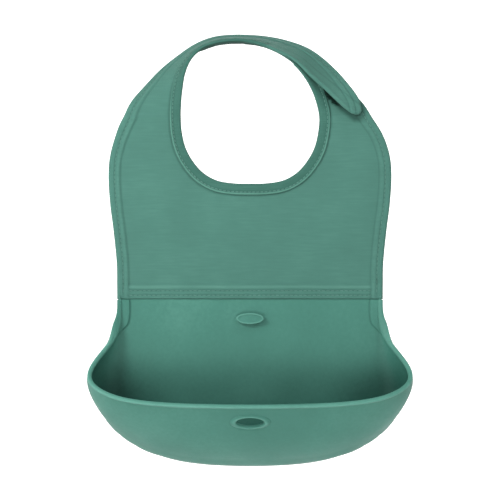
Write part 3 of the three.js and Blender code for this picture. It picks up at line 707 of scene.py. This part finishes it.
def cloth_layer(name, part, material, side, neck=UNDER_BINDING, neck_start=EDGE_SETBACK, middle=34,
                taper=None):
    """One closed layer of cloth on the front (side 1) or back (side -1) of the ring's middle surface."""
    face = section_points(part, fine_rows(neck_start, middle))
    back = section_points(part, coarse_rows(neck_start))
    pairs, normal = part["pairs"][:, None], part["normal"][:, None]
    d_out, d_neck, above = distances(part, face)
    along = np.broadcast_to(part["along"][:, None], d_out.shape)
    height = front_height(d_out, d_neck, above, along, face, neck)
    if side < 0:
        height = lerp(np.full_like(height, PLY), height, LINING_RELIEF)
        height = np.minimum(height, eased(LINING_EDGE, d_out))
    if taper is not None:
        height = np.maximum(height * taper[:, None], LEAST_HEIGHT)
    b_out, b_neck, b_above = distances(part, back)
    inner = LAYER_GAP + FLANGE_ROOM * smoothstep(11.0, 8.8, b_above) * smoothstep(0.2, 1.4, b_out)
    # painted shade in the grooves and painted highlight on the ridges
    marks = groove_shade_ridge_highlight(d_out, d_neck, above)
    if side < 0:
        height = height + sag(pairs, d_neck)
        inner = inner + sag(pairs, b_neck)
        # painted shade where the lining hangs under the strap
        marks = marks - 0.6 * sag(pairs, d_neck)
    face = face + normal * (side * height)[..., None]
    back = back + normal * (side * inner)[..., None]
    # painted shadow on the right shoulder under the closure tab's lower edge
    if name == "upper_front_cloth":
        marks = marks - tab_shadow_mark(face)
    points = np.concatenate([face, back[:, ::-1]], axis=1)
    marks = np.concatenate([marks, np.zeros(inner.shape)], axis=1)
    faces = strip_capped(points.shape[0], face.shape[1], back.shape[1])
    return outward(mesh_object(name, points.reshape(-1, 3), faces, material, marks.ravel(), sharp=50))


def ring_stations(pairs, tip_start=None):
    """Stations along the neck strap and closure tab; past tip_start the ring narrows to a round tip."""
    edge, across, width, normal = ring_at(pairs)
    outer = edge + across * width[:, None]
    part = stations_at(pairs, edge, outer, across, normal, np.zeros(len(pairs), bool), LEAST_SLANT)
    if tip_start is not None:
        rounding = np.clip((pairs - tip_start) / (pairs[-1] - tip_start), 0, 1)
        narrow = np.sqrt(np.maximum(1 - rounding**2, 0.01))[:, None]
        middle = (part["edge"] + part["outer"]) / 2
        for line in ("edge", "outer"):
            part[line] = lerp(middle, part[line], narrow)
    return with_strips(part)


UPPER = upper_stations()
END_TAPER = np.ones(len(UPPER["pairs"]))
END_TAPER[:4] = (0.15, 0.7, 0.9, 0.97)
STRAP = ring_stations(np.linspace(SHOULDER_CUT, TAB_CUT, 60))
TAB = ring_stations(
    np.concatenate([np.linspace(TAB_CUT, TAB_TIP - 0.5, 76), np.linspace(TAB_TIP - 0.49, TAB_TIP, 24)]),
    tip_start=TAB_TIP - 0.35,
)
TIP_TAPER = np.ones(len(TAB["pairs"]))
TIP_TAPER[-3:] = (0.9, 0.7, 0.2)
SIDES = ((1, FABRIC, "front", "front", "upper_fabric"), (-1, LINING, "lining", "back", "lining_fabric"))


def hinge_blend(piece, hinge, before, after):
    """Bakes a piece's placement into its mesh; the piece is not bent."""
    edge, across, width, _ = ring_at([hinge - before, hinge + after])
    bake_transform(piece)


def strap_blend(piece):
    hinge_blend(piece, STRAP_HINGE, 0.45, 0.45)


def tab_blend(piece):
    hinge_blend(piece, TAB_HINGE, 0.0, 0.8)


def seam_blend(piece):
    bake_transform(piece)


# ---- cloth pieces ---------------------------------------------------------------------------------
def cloth_pieces():
    for side, material, layer, node, slot in SIDES:
        piece = cloth_layer(f"upper_{layer}_cloth", UPPER, material, side, taper=END_TAPER)
        seam_blend(piece)
        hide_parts(f"{node}_panel", f"seam_band_{node}")
    for side, material, layer, node, slot in SIDES:
        piece = cloth_layer(f"strap_{layer}_cloth", STRAP, material, side, middle=14)
        strap_blend(piece)
        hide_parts(f"strap_{node}")
    for side, material, layer, node, slot in SIDES:
        piece = cloth_layer(f"tab_{layer}_cloth", TAB, material, side, TURNED, 0, 14, TIP_TAPER)
        tab_blend(piece)
        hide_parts(f"tab_{node}")


# ---- binding --------------------------------------------------------------------------------------
BINDING_START = 3  # in pairs from the right shoulder's free end
# The binding's section: distance from the neck edge, and height over the middle surface.
BINDING_FRONT = [(8.45, 0.62), (8.3, 1.1), (7.9, 1.5), (7.3, 1.72), (6.8, 1.6), (6.3, 1.2), (5.9, 1.08),
                 (5.4, 1.12), (4.4, 1.3), (3.2, 1.45), (2.0, 1.52), (1.1, 1.42), (0.5, 1.1), (0.15, 0.6),
                 (0, 0)]
BINDING_INSIDE = [(8.3, -0.55), (4.5, -0.48), (1.6, -0.4), (1.0, -0.2), (1.0, 0.2), (1.6, 0.4), (4.5, 0.48),
                  (8.3, 0.55)]
BINDING_BACK = 0.85  # the back's height as a share of the front's
CREST = (5.9, 8.2)  # distances between which a ridge flattens out up the shoulders
CREST_FLAT = 1.12
SHOULDER_SHARE = 0.35  # of the ridge that is left up there
BINDING_STITCH = 6.05


def binding_piece(name, part):
    front = np.array(BINDING_FRONT)
    back = front[::-1][1:] * (1, -BINDING_BACK)
    section = np.vstack([front, back, BINDING_INSIDE])
    pairs = part["pairs"]
    level = lerp(SHOULDER_SHARE, 1.0, smoothstep(RIGHT_BASE - 0.6, RIGHT_BASE + 2.2, pairs))
    level = level * lerp(1.0, SHOULDER_SHARE, smoothstep(LEFT_START - 0.6, LEFT_START + 1.6, pairs))
    distance = np.broadcast_to(section[:, 0], (len(pairs), len(section)))
    height = np.repeat(section[None, :, 1], len(pairs), axis=0)
    crest = (distance > CREST[0]) & (distance < CREST[1]) & (height > 1.0)
    height = np.where(crest, lerp(CREST_FLAT, height, level[:, None]), height)
    uneven = 1 + 0.035 * np.sin(part["along"] * 0.8) * np.sin(part["along"] * 0.23 + 1)
    height = height * uneven[:, None]
    height = height - np.where(height < -0.1, sag(pairs[:, None], distance), 0)
    edge, across, normal = (part[key][:, None] for key in ("edge", "across", "normal"))
    points = edge + across * (distance / part["neck_slant"][:, None])[..., None] + normal * height[..., None]
    # painted highlight along the binding's crest; painted shade on the strap's hanging underside, along the
    # stitch line and in the step at the binding's edge
    lit = 0.55 * bump_at(distance, 7.4, 0.7) * (height > 0) * level[:, None]
    dark = 1.3 * on_strap(pairs[:, None]) * (1 - smoothstep(-0.6, 0.5, height))
    dark = dark + 0.2 * bump_at(distance, BINDING_STITCH, 0.6) + 0.4 * bump_at(distance, 8.5, 0.3)
    faces = loop_faces(len(pairs), len(section))
    return outward(mesh_object(name, points.reshape(-1, 3), faces, BINDING, (lit - dark).ravel(), sharp=60))


def part_of(part, low, high):
    keep = (part["pairs"] >= low - SAME_PAIR) & (part["pairs"] <= high + SAME_PAIR)
    return {key: value[keep] for key, value in part.items()}


def binding_pieces():
    upper = binding_piece("neckline_binding_cloth", part_of(UPPER, BINDING_START, SHOULDER_CUT))
    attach(upper, "upper")
    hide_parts("neckline_binding")
    strap = binding_piece("strap_binding_cloth", STRAP)
    strap_blend(strap)
    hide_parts("strap_binding")


# ---- stitches -------------------------------------------------------------------------------------
STITCH_PITCH = 3.3
STITCH_GAP = 0.55
BINDING_PITCH = 3.0
THREAD_HALF = (0.3, 0.22)  # across and above the cloth
# Heights of the rows over the middle surface.
HEM_ROW = 0.82
BINDING_ROW = 1.1
SEAM_ROW = 1.14
STITCH_RINGS = 7
STITCH_SIDES = 7


def stitch_row(name, path, normals, pitch=STITCH_PITCH, seed=SEED):
    """Separate thread stitches along a path in millimetres, each arched and slightly out of line."""
    random = np.random.default_rng(seed)
    lengths = arc_lengths(path)
    count = int(lengths[-1] // pitch)
    step = lengths[-1] / count
    centres = (np.arange(count) + 0.5) * step
    half = (step - STITCH_GAP) / 2
    middle, normal = at_length(centres, lengths, path), unit(at_length(centres, lengths, normals))
    along = unit(at_length(centres + half, lengths, path) - at_length(centres - half, lengths, path))
    aside = unit(np.cross(normal, along))
    along = unit(along + aside * random.uniform(-0.05, 0.05, count)[:, None])
    t = np.linspace(-1, 1, STITCH_RINGS)
    swell = np.sqrt(np.maximum(1 - np.abs(t) ** 3.5, 0.02))[:, None]
    angle = circle(STITCH_SIDES)
    rise = 0.16 * (1 - t**2) - 0.12 * np.abs(t) ** 3
    offset_along = np.repeat(t * half, STITCH_SIDES)[:, None]
    offset_aside = (swell * np.cos(angle) * THREAD_HALF[0]).reshape(-1, 1)
    offset_up = (swell * np.sin(angle) * THREAD_HALF[1] + rise[:, None]).reshape(-1, 1)
    size = random.uniform(0.92, 1.08, count)[:, None, None]
    section = aside[:, None] * offset_aside + normal[:, None] * offset_up
    points = middle[:, None] + along[:, None] * offset_along + section * size
    faces = copies_of(loop_faces(STITCH_RINGS, STITCH_SIDES), count, STITCH_RINGS * STITCH_SIDES)
    piece = outward(mesh_object(name, points.reshape(-1, 3), faces, THREAD))
    return piece


def binding_row(name, part):
    path = lerp(part["edge"], part["near"], BINDING_STITCH / STRIP) + part["normal"] * BINDING_ROW
    return stitch_row(name, path, part["normal"], BINDING_PITCH)


def hem_path(part):
    return lerp(part["outer"], part["inset"], HEM_STITCH / STRIP) + part["normal"] * HEM_ROW


def stitch_pieces():
    neck = binding_row("neckline_stitches", part_of(UPPER, BINDING_START + 0.1, SHOULDER_CUT - 0.1))
    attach(neck, "upper")
    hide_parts("neckline_topstitching")
    strap_blend(binding_row("strap_binding_stitches", STRAP))
    corner = (LEFT_START - RIGHT_BASE) * CORNER_SHARE
    ends = (("right", 0.1, RIGHT_BASE + corner), ("left", LEFT_START - corner, SHOULDER_CUT - 0.05))
    for side, low, high in ends:
        part = part_of(UPPER, low, high)
        path = hem_path(part)
        low_corner = (part["outer"][:, 2] < SEAM_LOW_Z + 9) & part["flat"]
        path[low_corner, 1] -= 0.45
        inside = path[:, 2] > SEAM_LOW_Z + 1.2
        piece = stitch_row(f"{side}_edge_stitches", path[inside], part["normal"][inside])
        seam_blend(piece)
        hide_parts(f"{side}_edge_topstitching")
    strap_blend(stitch_row("strap_edge_stitches", hem_path(STRAP), STRAP["normal"]))
    tab = part_of(TAB, 0, TAB_TIP - 0.9)
    tab_blend(stitch_row("tab_edge_stitches", hem_path(tab), tab["normal"]))
    x = np.linspace(-SEAM_ROW_HALF_LENGTH, SEAM_ROW_HALF_LENGTH, 200)
    for row, z, seed in (("upper", SEAM_ROWS_Z[0], 11), ("lower", SEAM_ROWS_Z[1], 12)):
        path = np.stack([x, np.full_like(x, -SEAM_ROW), np.full_like(x, z)], axis=1)
        piece = stitch_row(f"seam_stitches_{row}", path, np.tile((0.0, -1.0, 0.0), (len(x), 1)), seed=seed)
        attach(piece, "pocket")
        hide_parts(f"seam_stitch_row_{row}")


# ---- hook and loop --------------------------------------------------------------------------------
# Each tape's stretch of the ring in pairs, and its distances from the neck edge and the outer edge.
LOOP_SPAN = (3.5, 5.3)
LOOP_MARGINS = (9.0, 6.5)
HOOK_SPAN = (TAB_HINGE + 1.5, TAB_HINGE + 3.4)
HOOK_MARGINS = (5.5, 3.5)
TAPE_LOW = 0.66
TAPE_HIGH = 1.3
# Points along and across the tapes, and the pile's and the hooks' roots.
TAPE_GRID = (46, 30)
PILE_GRID = (40, 26)
HOOK_GRID = (26, 14)
HOOK_LEAN = (0.6, 0.0, -0.8)
STRAY_COUNT = 130  # fibres that hang out below the tab
STRAY_PAIRS = (5.3, 6.2)


def tape_grid(span, margins, along_count, across_count):
    """Points of the middle surface under a tape, by station and then across it, with their normals."""
    edge, across, width, normal = ring_at(np.linspace(*span, along_count))
    t = np.linspace(0, 1, across_count)
    distance = margins[0] + (width - margins[1] - margins[0])[:, None] * t
    points = edge[:, None] + across[:, None] * distance[..., None]
    return points, np.broadcast_to(normal[:, None], points.shape)


def tape(name, span, margins, side, seed):
    """A woven backing with softly rounded corners and edges, on the front (1) or back (-1)."""
    random = np.random.default_rng(seed)
    rows, columns = TAPE_GRID
    points, normal = tape_grid(span, margins, rows, columns)
    i, j = np.linspace(-1, 1, rows)[:, None], np.linspace(-1, 1, columns)
    edge = np.minimum(1 - np.abs(i), 1 - np.abs(j))
    rise = TAPE_LOW + (TAPE_HIGH - TAPE_LOW) * np.sqrt(np.clip(edge / 0.07, 0, 1))
    rise = rise + random.normal(0, 0.03, rise.shape) * (edge > 0.05)
    top = points + normal * (side * rise)[..., None]
    low = points + normal * (side * (TAPE_LOW - 0.12))
    ring = np.concatenate([top, low[:, ::-1]], axis=1)
    faces = strip_capped(rows, columns, columns)
    piece = outward(mesh_object(name, ring.reshape(-1, 3), faces, PILE))
    return piece


def tufts(name, roots, normals, leans, heights, half_width, bend, sides=3, rings=5):
    """Thin curved bristles: each rises from its root along the normal and bends towards its lean."""
    t = np.linspace(0, 1, rings)
    points = []
    for root, normal, lean, height in zip(roots, normals, leans, heights):
        side_way = unit(np.cross(normal, lean))
        curve = np.outer(np.sin(t * bend), normal) + np.outer(1 - np.cos(t * bend), lean)
        for place, thick in zip(root + curve * (1.1 * height / bend), half_width * (1 - 0.75 * t)):
            points += [place + (side_way * math.cos(a) + lean * math.sin(a)) * thick for a in circle(sides)]
    faces = copies_of(loop_faces(rings, sides), len(roots), rings * sides)
    piece = outward(mesh_object(name, points, faces, PILE))
    return piece


def within(vectors, normals):
    """The part of each vector that lies in the cloth."""
    return vectors - normals * (vectors * normals).sum(1, keepdims=True)


def hook_and_loop():
    random = np.random.default_rng(SEED)
    loop = tape("loop_tape", LOOP_SPAN, LOOP_MARGINS, 1, 3)
    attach(loop, "upper")
    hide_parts("loop_patch")
    hook = tape("hook_tape", HOOK_SPAN, HOOK_MARGINS, -1, 4)
    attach(hook, "closure_tab")
    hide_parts("hook_patch")

    points, normals = (a.reshape(-1, 3) for a in tape_grid(LOOP_SPAN, LOOP_MARGINS, *PILE_GRID))
    roots = points + within(random.normal(0, 0.25, points.shape), normals) + normals * (TAPE_HIGH - 0.1)
    leans = unit(np.cross(normals, random.normal(0, 1, points.shape)))
    pile = tufts("loop_pile", roots, normals, leans, random.uniform(0.25, 0.55, len(roots)), 0.07, 1.9)
    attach(pile, "upper")

    pairs = random.uniform(*STRAY_PAIRS, STRAY_COUNT)
    edge, across, _, normal = ring_at(pairs)
    down = unit(np.cross(normal, across))
    down = np.where(down[:, 2:] > 0, -down, down)
    inset = 12 + 7 * (pairs - 5.5) + random.uniform(-4.0, 0.3, STRAY_COUNT)
    roots = edge + across * inset[:, None] + normal * random.uniform(0.9, 1.7, STRAY_COUNT)[:, None]
    leans = unit(down * 0.75 - across * 0.65 + random.normal(0, 0.3, (STRAY_COUNT, 3)))
    heights = random.uniform(2.0, 6.5, STRAY_COUNT)
    stray = tufts("stray_loop_fibres", roots, normal, leans, heights, 0.19, 1.3)
    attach(stray, "upper")

    grid = tape_grid(HOOK_SPAN, HOOK_MARGINS, *HOOK_GRID)
    points, normals = (a[1:-1, 1:-1].reshape(-1, 3) for a in grid)
    leans = unit(within(np.tile(HOOK_LEAN, (len(points), 1)), normals))
    roots = points - normals * (TAPE_HIGH - 0.05)
    hooks = tufts("hooks", roots, -normals, leans, np.full(len(roots), 0.42), 0.13, 2.4, sides=4)
    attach(hooks, "closure_tab")


# ---- silicone panel and pocket --------------------------------------------------------------------
RIM_STEPS = 379  # along the mouth, apart from its ends
END_SHARE = 0.06  # of the mouth that has finer steps at each end
END_STEPS = 49
FINE_REACH = 11.0  # from the rim, with finer rows
WALL_POINTS = 60
FILLET_POINTS = 24
RAIL_EDGE = 1.0  # from the lip's line to the rail's outer edge
LIP_REACH = 1.7  # the bead's far side, past the rim curve
FILLET = 15.0
RAIL_WIDTH = 7.8
BEAD_WIDTH = 3.4
TOP_INNER_Z = -126.5
TOP_INNER_HALF = 90.0
# Heights over the middle surface, and how far the rail's and the bead's inner flank takes to fall.
RAIL_HEIGHT = 1.75
BEAD_HEIGHT = 1.7
BEAD_BACK = 0.9  # more than the wall's own back
RAIL_DROP = 1.1
BEAD_DROP = 1.8
LIP_ROUND = 1.65
# Levels from and to which one form turns into the next.
ON_RAIL_Z = (-168, -152)  # distances from the rim into distances from the panel's side
BEAD_Z = (-146, -184)  # the rail into the bead
FLAT_BACK_Z = (-168, -150)  # a free wall into the flat back of the panel
SHADE_Z = (-170, -206)  # light into shade, inside the pocket
SHADE_X = (45, 92)


def mirrored(half, centre):
    return np.array([*[(-p[0], *p[1:]) for p in half], centre, *half[::-1]], float)


RIM_POINTS = mirrored(RIM_HALF, RIM_CENTRE)
BASE_POINTS = np.array([(x, 0, z) for x, z in mirrored(BASE_HALF, BASE_CENTRE)])


def wall_points(u, v):
    """Middle surface of the pocket wall: u round the mouth, v from its base (0) to its rim (1)."""
    base, rim = centripetal(BASE_POINTS, u), centripetal(RIM_POINTS, u)
    tangent = unit(centripetal(BASE_POINTS, u + 1e-4) - centripetal(BASE_POINTS, u - 1e-4))
    outward_way = unit(np.stack([tangent[:, 2], np.full(len(u), BULGE_FORWARD), -tangent[:, 0]], axis=1))
    reach = np.minimum(1, np.linalg.norm(rim - base, axis=1) / FULL_BULGE_HEIGHT)
    swell = WALL_BULGE * reach[:, None] * np.sin(math.pi * v)[:, None]
    return lerp(base, rim, v[:, None]) + outward_way * swell


def pocket_path(u):
    """The middle surface's line from the top of the panel, round the fillet and up the wall to the lip."""
    wall = wall_points(np.full(WALL_POINTS, u), np.linspace(0, 1, WALL_POINTS))
    start = np.array([lerp(-TOP_INNER_HALF, TOP_INNER_HALF, u), 0, TOP_INNER_Z])
    radius = min(FILLET, 0.42 * np.linalg.norm(wall[-1] - wall[0]))
    lengths = arc_lengths(wall)
    cut = at_length(radius, lengths, wall)
    panel = start - wall[0]
    corner = wall[0] - unit(panel) * 0.32 * radius
    before = wall[0] + unit(panel) * min(radius, 0.5 * np.linalg.norm(panel))
    t = np.linspace(0, 1, FILLET_POINTS)[:, None]
    bend = (1 - t) ** 2 * before + 2 * t * (1 - t) * corner + t**2 * cut
    tip = wall[-1] + unit(wall[-1] - wall[-2]) * LIP_REACH
    return np.vstack([start, bend, wall[lengths > radius + 0.5], tip])


def silicone_grid():
    """Points of the middle surface by station and row, and their distances from the lip's far side."""
    stations = spaced((0, END_SHARE, END_STEPS), (END_SHARE, 1 - END_SHARE, RIM_STEPS),
                      (1 - END_SHARE, 1, END_STEPS))
    near = spaced((0, 1.6, 7), (1.6, FINE_REACH, 24))
    far = np.linspace(0, 1, 46)[1:]
    grid, reach = [], []
    for u in stations:
        path = pocket_path(u)
        lengths = arc_lengths(path)
        total = lengths[-1]
        share = min(1, 0.8 * total / FINE_REACH)
        from_rim = np.concatenate([near * share, lerp(FINE_REACH * share, total, far)])
        grid.append(at_length(total - from_rim, lengths, path))
        reach.append(from_rim)
    grid = np.array(grid)
    place = np.arange(len(stations))
    share = smoothstep(12, 50, np.minimum(place, place[::-1]))[:, None, None]
    even = smoothed(smoothed(grid.reshape(len(stations), -1), 9), 6).reshape(grid.shape)
    return lerp(grid, even, share), np.array(reach)


def silicone_shell():
    """Panel, wall, rails and bead as one closed mesh round their middle surface."""
    middle, from_rim = silicone_grid()
    normal = unit(np.cross(np.gradient(middle, axis=0), np.gradient(middle, axis=1)))
    normal = np.where(normal[:, -3:, 1:2].mean(axis=(1, 2), keepdims=True) > 0, -normal, normal)
    rim_z = middle[:, :1, 2]
    x, y, z = (middle[..., k] for k in range(3))
    lip = middle[: len(middle) // 2, 0]
    lip_x = np.interp(-z, -lip[:, 2], -lip[:, 0])
    on_rail = smoothstep(*ON_RAIL_Z, z)
    from_edge = lerp(from_rim, lip_x + RAIL_EDGE - np.abs(x), on_rail)
    to_bead = smoothstep(*BEAD_Z, lerp(rim_z, z, on_rail))
    lip_width = lerp(RAIL_WIDTH, BEAD_WIDTH, to_bead)
    plateau = 1 - smoothstep(lip_width - lerp(RAIL_DROP, BEAD_DROP, to_bead), lip_width, from_edge)
    flat_back = smoothstep(*FLAT_BACK_Z, rim_z)
    inside = lerp(PANEL_HALF, lerp(RAIL_HEIGHT, BEAD_HEIGHT, to_bead), plateau)
    outside = PANEL_HALF + BEAD_BACK * plateau * (1 - flat_back)
    outside = lerp(outside, np.maximum(outside, PANEL_HALF - np.minimum(y, 0)), flat_back)
    hidden = smoothstep(PANEL_TOP_Z - 0.3, PANEL_TOP_Z + 0.4, z)
    round_end = np.sqrt(1 - np.clip(1 - from_rim / LIP_ROUND, 0, 1) ** 2)
    inside, outside = (lerp(side, FLANGE_HALF, hidden) * round_end for side in (inside, outside))
    front = middle + normal * inside[..., None]
    back = middle - normal * outside[..., None]
    back[..., 1] = np.minimum(back[..., 1], PANEL_HALF)
    # painted shade at the foot of the rail's and bead's inner flank, a painted highlight along the rim's
    # crest on both faces, and painted shade deeper inside the pocket
    foot = bump_at(from_edge, lip_width + 0.25, 0.5) * lerp(0.6, 0.2, to_bead)
    crest = 0.55 * bump_at(from_rim, 1.2, 1.1)
    depth = smoothstep(*SHADE_Z, z) * (0.5 + 0.6 * smoothstep(*SHADE_X, np.abs(x)))
    front_mark = crest - foot - depth * smoothstep(2.5, 6.0, from_rim)
    back_mark = crest * (1 - flat_back)
    points = np.concatenate([front, back[:, :0:-1]], axis=1)
    marks = np.concatenate([front_mark, back_mark[:, :0:-1]], axis=1).ravel()
    faces = loop_faces(*points.shape[:2])
    return outward(mesh_object("moulded_pocket", points.reshape(-1, 3), faces, SILICONE, marks, sharp=70))


def hole_frame():
    """Centre of the buttonhole on the wall's middle surface, and its right, up and outward directions."""
    half = np.array([0.5])
    length = np.linalg.norm(wall_points(half, np.array([0.0])) - wall_points(half, np.array([1.0])))
    v = 1 - HOLE_RIM_DISTANCE / length
    step = 1e-3
    centre = wall_points(half, np.array([v]))[0]
    up = unit(wall_points(half, np.array([v + step]))[0] - wall_points(half, np.array([v - step]))[0])
    right = np.array([1.0, 0, 0])
    out = unit(np.cross(right, up))
    out = -out if out[1] > 0 else out
    return centre, right, up, out


CUT_SHARE = 0.35  # of the way from the hole to the collar's edge
CUT_DEPTH = 6.0


def cut_buttonhole(shell):
    """Cuts the shell under the collar, a little outside the hole, so that the collar closes the cut."""
    centre, right, up, out = hole_frame()
    count = 64
    angle = circle(count)
    a, b = (lerp(h, c, CUT_SHARE) for h, c in zip(HOLE_HALF, COLLAR_HALF))
    ring = centre + np.outer(np.cos(angle) * a, right) + np.outer(np.sin(angle) * b, up)
    points = np.concatenate([ring - out * CUT_DEPTH, ring + out * CUT_DEPTH])
    cutter = outward(mesh_object("cutter", points, loop_faces(2, count), SILICONE))
    cut = shell.modifiers.new("cut", "BOOLEAN")
    cut.object = cutter
    cut.solver = "EXACT"
    bpy.context.view_layer.update()
    cut_mesh = bpy.data.meshes.new_from_object(shell.evaluated_get(bpy.context.evaluated_depsgraph_get()))
    old = shell.data
    shell.modifiers.clear()
    shell.data = cut_mesh
    bpy.data.objects.remove(cutter)
    bpy.data.meshes.remove(old)


# The collar's section: share of the way from the hole to the collar's edge, and height off the wall.
COLLAR_SECTION = [
    (0.5, -1.05), (0.3, -1.3), (0.12, -1.15), (0.02, -0.6), (0.0, 0.2), (0.01, 0.9), (0.06, 1.5),
    (0.16, 1.85), (0.3, 2.0), (0.46, 1.95), (0.62, 1.72), (0.78, 1.35), (0.92, 1.0), (1.04, 0.82),
    (1.08, 0.6), (0.9, 0.1), (0.7, -0.5),
]


def buttonhole_collar():
    centre, right, up, out = hole_frame()
    count = 96
    points, marks = [], []
    for angle in circle(count):
        for share, height in COLLAR_SECTION:
            a, b = (lerp(h, c, share) for h, c in zip(HOLE_HALF, COLLAR_HALF))
            x, y = a * math.cos(angle), b * math.sin(angle)
            wall_drop = y * y / 190 + x * x / 2000
            points.append(centre + right * x + up * y + out * (height - wall_drop))
            # painted highlight on the top of the collar's ring and painted shade at its outer foot
            marks.append(0.4 * bump_at(share, 0.35, 0.25) - 0.4 * (share > 0.95))
    faces = loop_faces(count + 1, len(COLLAR_SECTION), closed_ends=False)
    faces = [[v % len(points) for v in face] for face in faces]
    piece = outward(mesh_object("buttonhole_collar", points, faces, SILICONE, marks, sharp=60))
    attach(piece, "pocket")


# The button's outline at each height off the panel's front: half width, half height, height.
BUTTON_RINGS = [
    (8.6, 3.9, -0.1), (7.6, 3.0, 0.25), (7.1, 2.5, 0.8), (7.0, 2.4, 1.9), (7.5, 2.8, 2.2), (9.6, 3.7, 2.26),
    (10.1, 4.05, 2.45), (10.3, 4.2, 2.85), (10.15, 4.1, 3.25), (9.75, 3.8, 3.52), (9.3, 3.45, 3.6),
    (8.9, 3.12, 3.52), (8.55, 2.85, 3.36), (8.1, 2.6, 3.3), (5, 1.6, 3.34), (2, 0.6, 3.36), (0.4, 0.12, 3.36),
]


def roll_up_button():
    count = 72
    points, marks = [], []
    for a, b, height in BUTTON_RINGS:
        for angle in circle(count):
            points.append((a * math.cos(angle), -PANEL_HALF - height, BUTTON_Z + b * math.sin(angle)))
            # painted highlight on the head's raised rim and painted shade on the neck under the head
            marks.append(0.35 if height > 3.5 else -0.45 * (height < 2.3))
    faces = loop_faces(len(BUTTON_RINGS), count)
    piece = outward(mesh_object("roll_up_button", points, faces, SILICONE, marks, sharp=70))
    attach(piece, "pocket")


def silicone_pieces():
    shell = silicone_shell()
    cut_buttonhole(shell)
    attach(shell, "pocket")
    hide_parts("silicone_pocket")
    buttonhole_collar()
    roll_up_button()


# ---- surroundings ---------------------------------------------------------------------------------
FLOOR_Z = -0.95
BOWL_RADIUS = 4.5
BOWL_CORNER = 2.2
BOWL_TOP = 4.5


def backdrop():
    """A plain pale floor that curves up into a round wall, so that every view has the same ground."""
    flat = BOWL_RADIUS - BOWL_CORNER
    profile = [(0.001, FLOOR_Z), (0.6, FLOOR_Z), (flat, FLOOR_Z)]
    for a in np.linspace(0, math.pi / 2, 17)[1:]:
        profile.append((flat + BOWL_CORNER * math.sin(a), FLOOR_Z + BOWL_CORNER * (1 - math.cos(a))))
    profile.append((BOWL_RADIUS, BOWL_TOP))
    count = 96
    points = [(r * math.cos(a) / MM, r * math.sin(a) / MM, z / MM) for r, z in profile for a in circle(count)]
    faces = loop_faces(len(profile), count, closed_ends=False)
    mesh_object("backdrop", points, faces, floor_material())


MIDDLE = (0.0, 0.0, -0.1)
# Each light's name, place and target in metres, size in metres and power in watts.
LIGHTS = [
    ("key", (-0.6, -0.55, 0.3), MIDDLE, 0.36, 11.0),
    ("low_front", (-0.2, -1.2, -0.8), MIDDLE, 0.6, 10.0),
    ("top", (0.45, -0.55, 1.1), (0.0, 0.0, 0.0), 0.4, 11.0),
    ("back", (0.5, 1.2, 0.5), MIDDLE, 0.6, 9.0),
]
WORLD_STRENGTH = 0.35


def area_light(name, place, target, size, power):
    light = bpy.data.lights.new(name, "AREA")
    light.shape = "DISK"
    light.size = size
    light.energy = power
    lamp = bpy.data.objects.new(name, light)
    lamp.location = place
    x, y, z = np.array(target) - np.array(place)
    lamp.rotation_euler = (math.atan2(math.hypot(x, y), -z), 0, math.atan2(-x, y))
    bpy.context.scene.collection.objects.link(lamp)


def lighting():
    world = bpy.data.worlds.new("studio")
    world.use_nodes = True
    background = world.node_tree.nodes["Background"]
    background.inputs["Color"].default_value = (1.0, 1.0, 1.0, 1)
    background.inputs["Strength"].default_value = WORLD_STRENGTH
    bpy.context.scene.world = world
    for light in LIGHTS:
        area_light(*light)
    bpy.context.scene.view_settings.view_transform = "Standard"


# In metres, but for the sensor in millimetres.
CAMERA_DISTANCE = 1.9
PICTURE_WIDTH = 0.36
SENSOR = 36


def camera():
    low, high = (np.array(corner) for corner in CAD_BOX)
    centre = (low + high) / 2
    data = bpy.data.cameras.new("camera")
    data.sensor_width = SENSOR
    data.lens = SENSOR * CAMERA_DISTANCE / PICTURE_WIDTH
    data.clip_end = 50
    lens = bpy.data.objects.new("camera", data)
    lens.location = (centre[0], centre[1] - CAMERA_DISTANCE, centre[2])
    lens.rotation_euler = (math.pi / 2, 0, 0)
    bpy.context.scene.collection.objects.link(lens)
    bpy.context.scene.camera = lens


camera()
lighting()
backdrop()
cloth_pieces()
binding_pieces()
stitch_pieces()
hook_and_loop()
silicone_pieces()
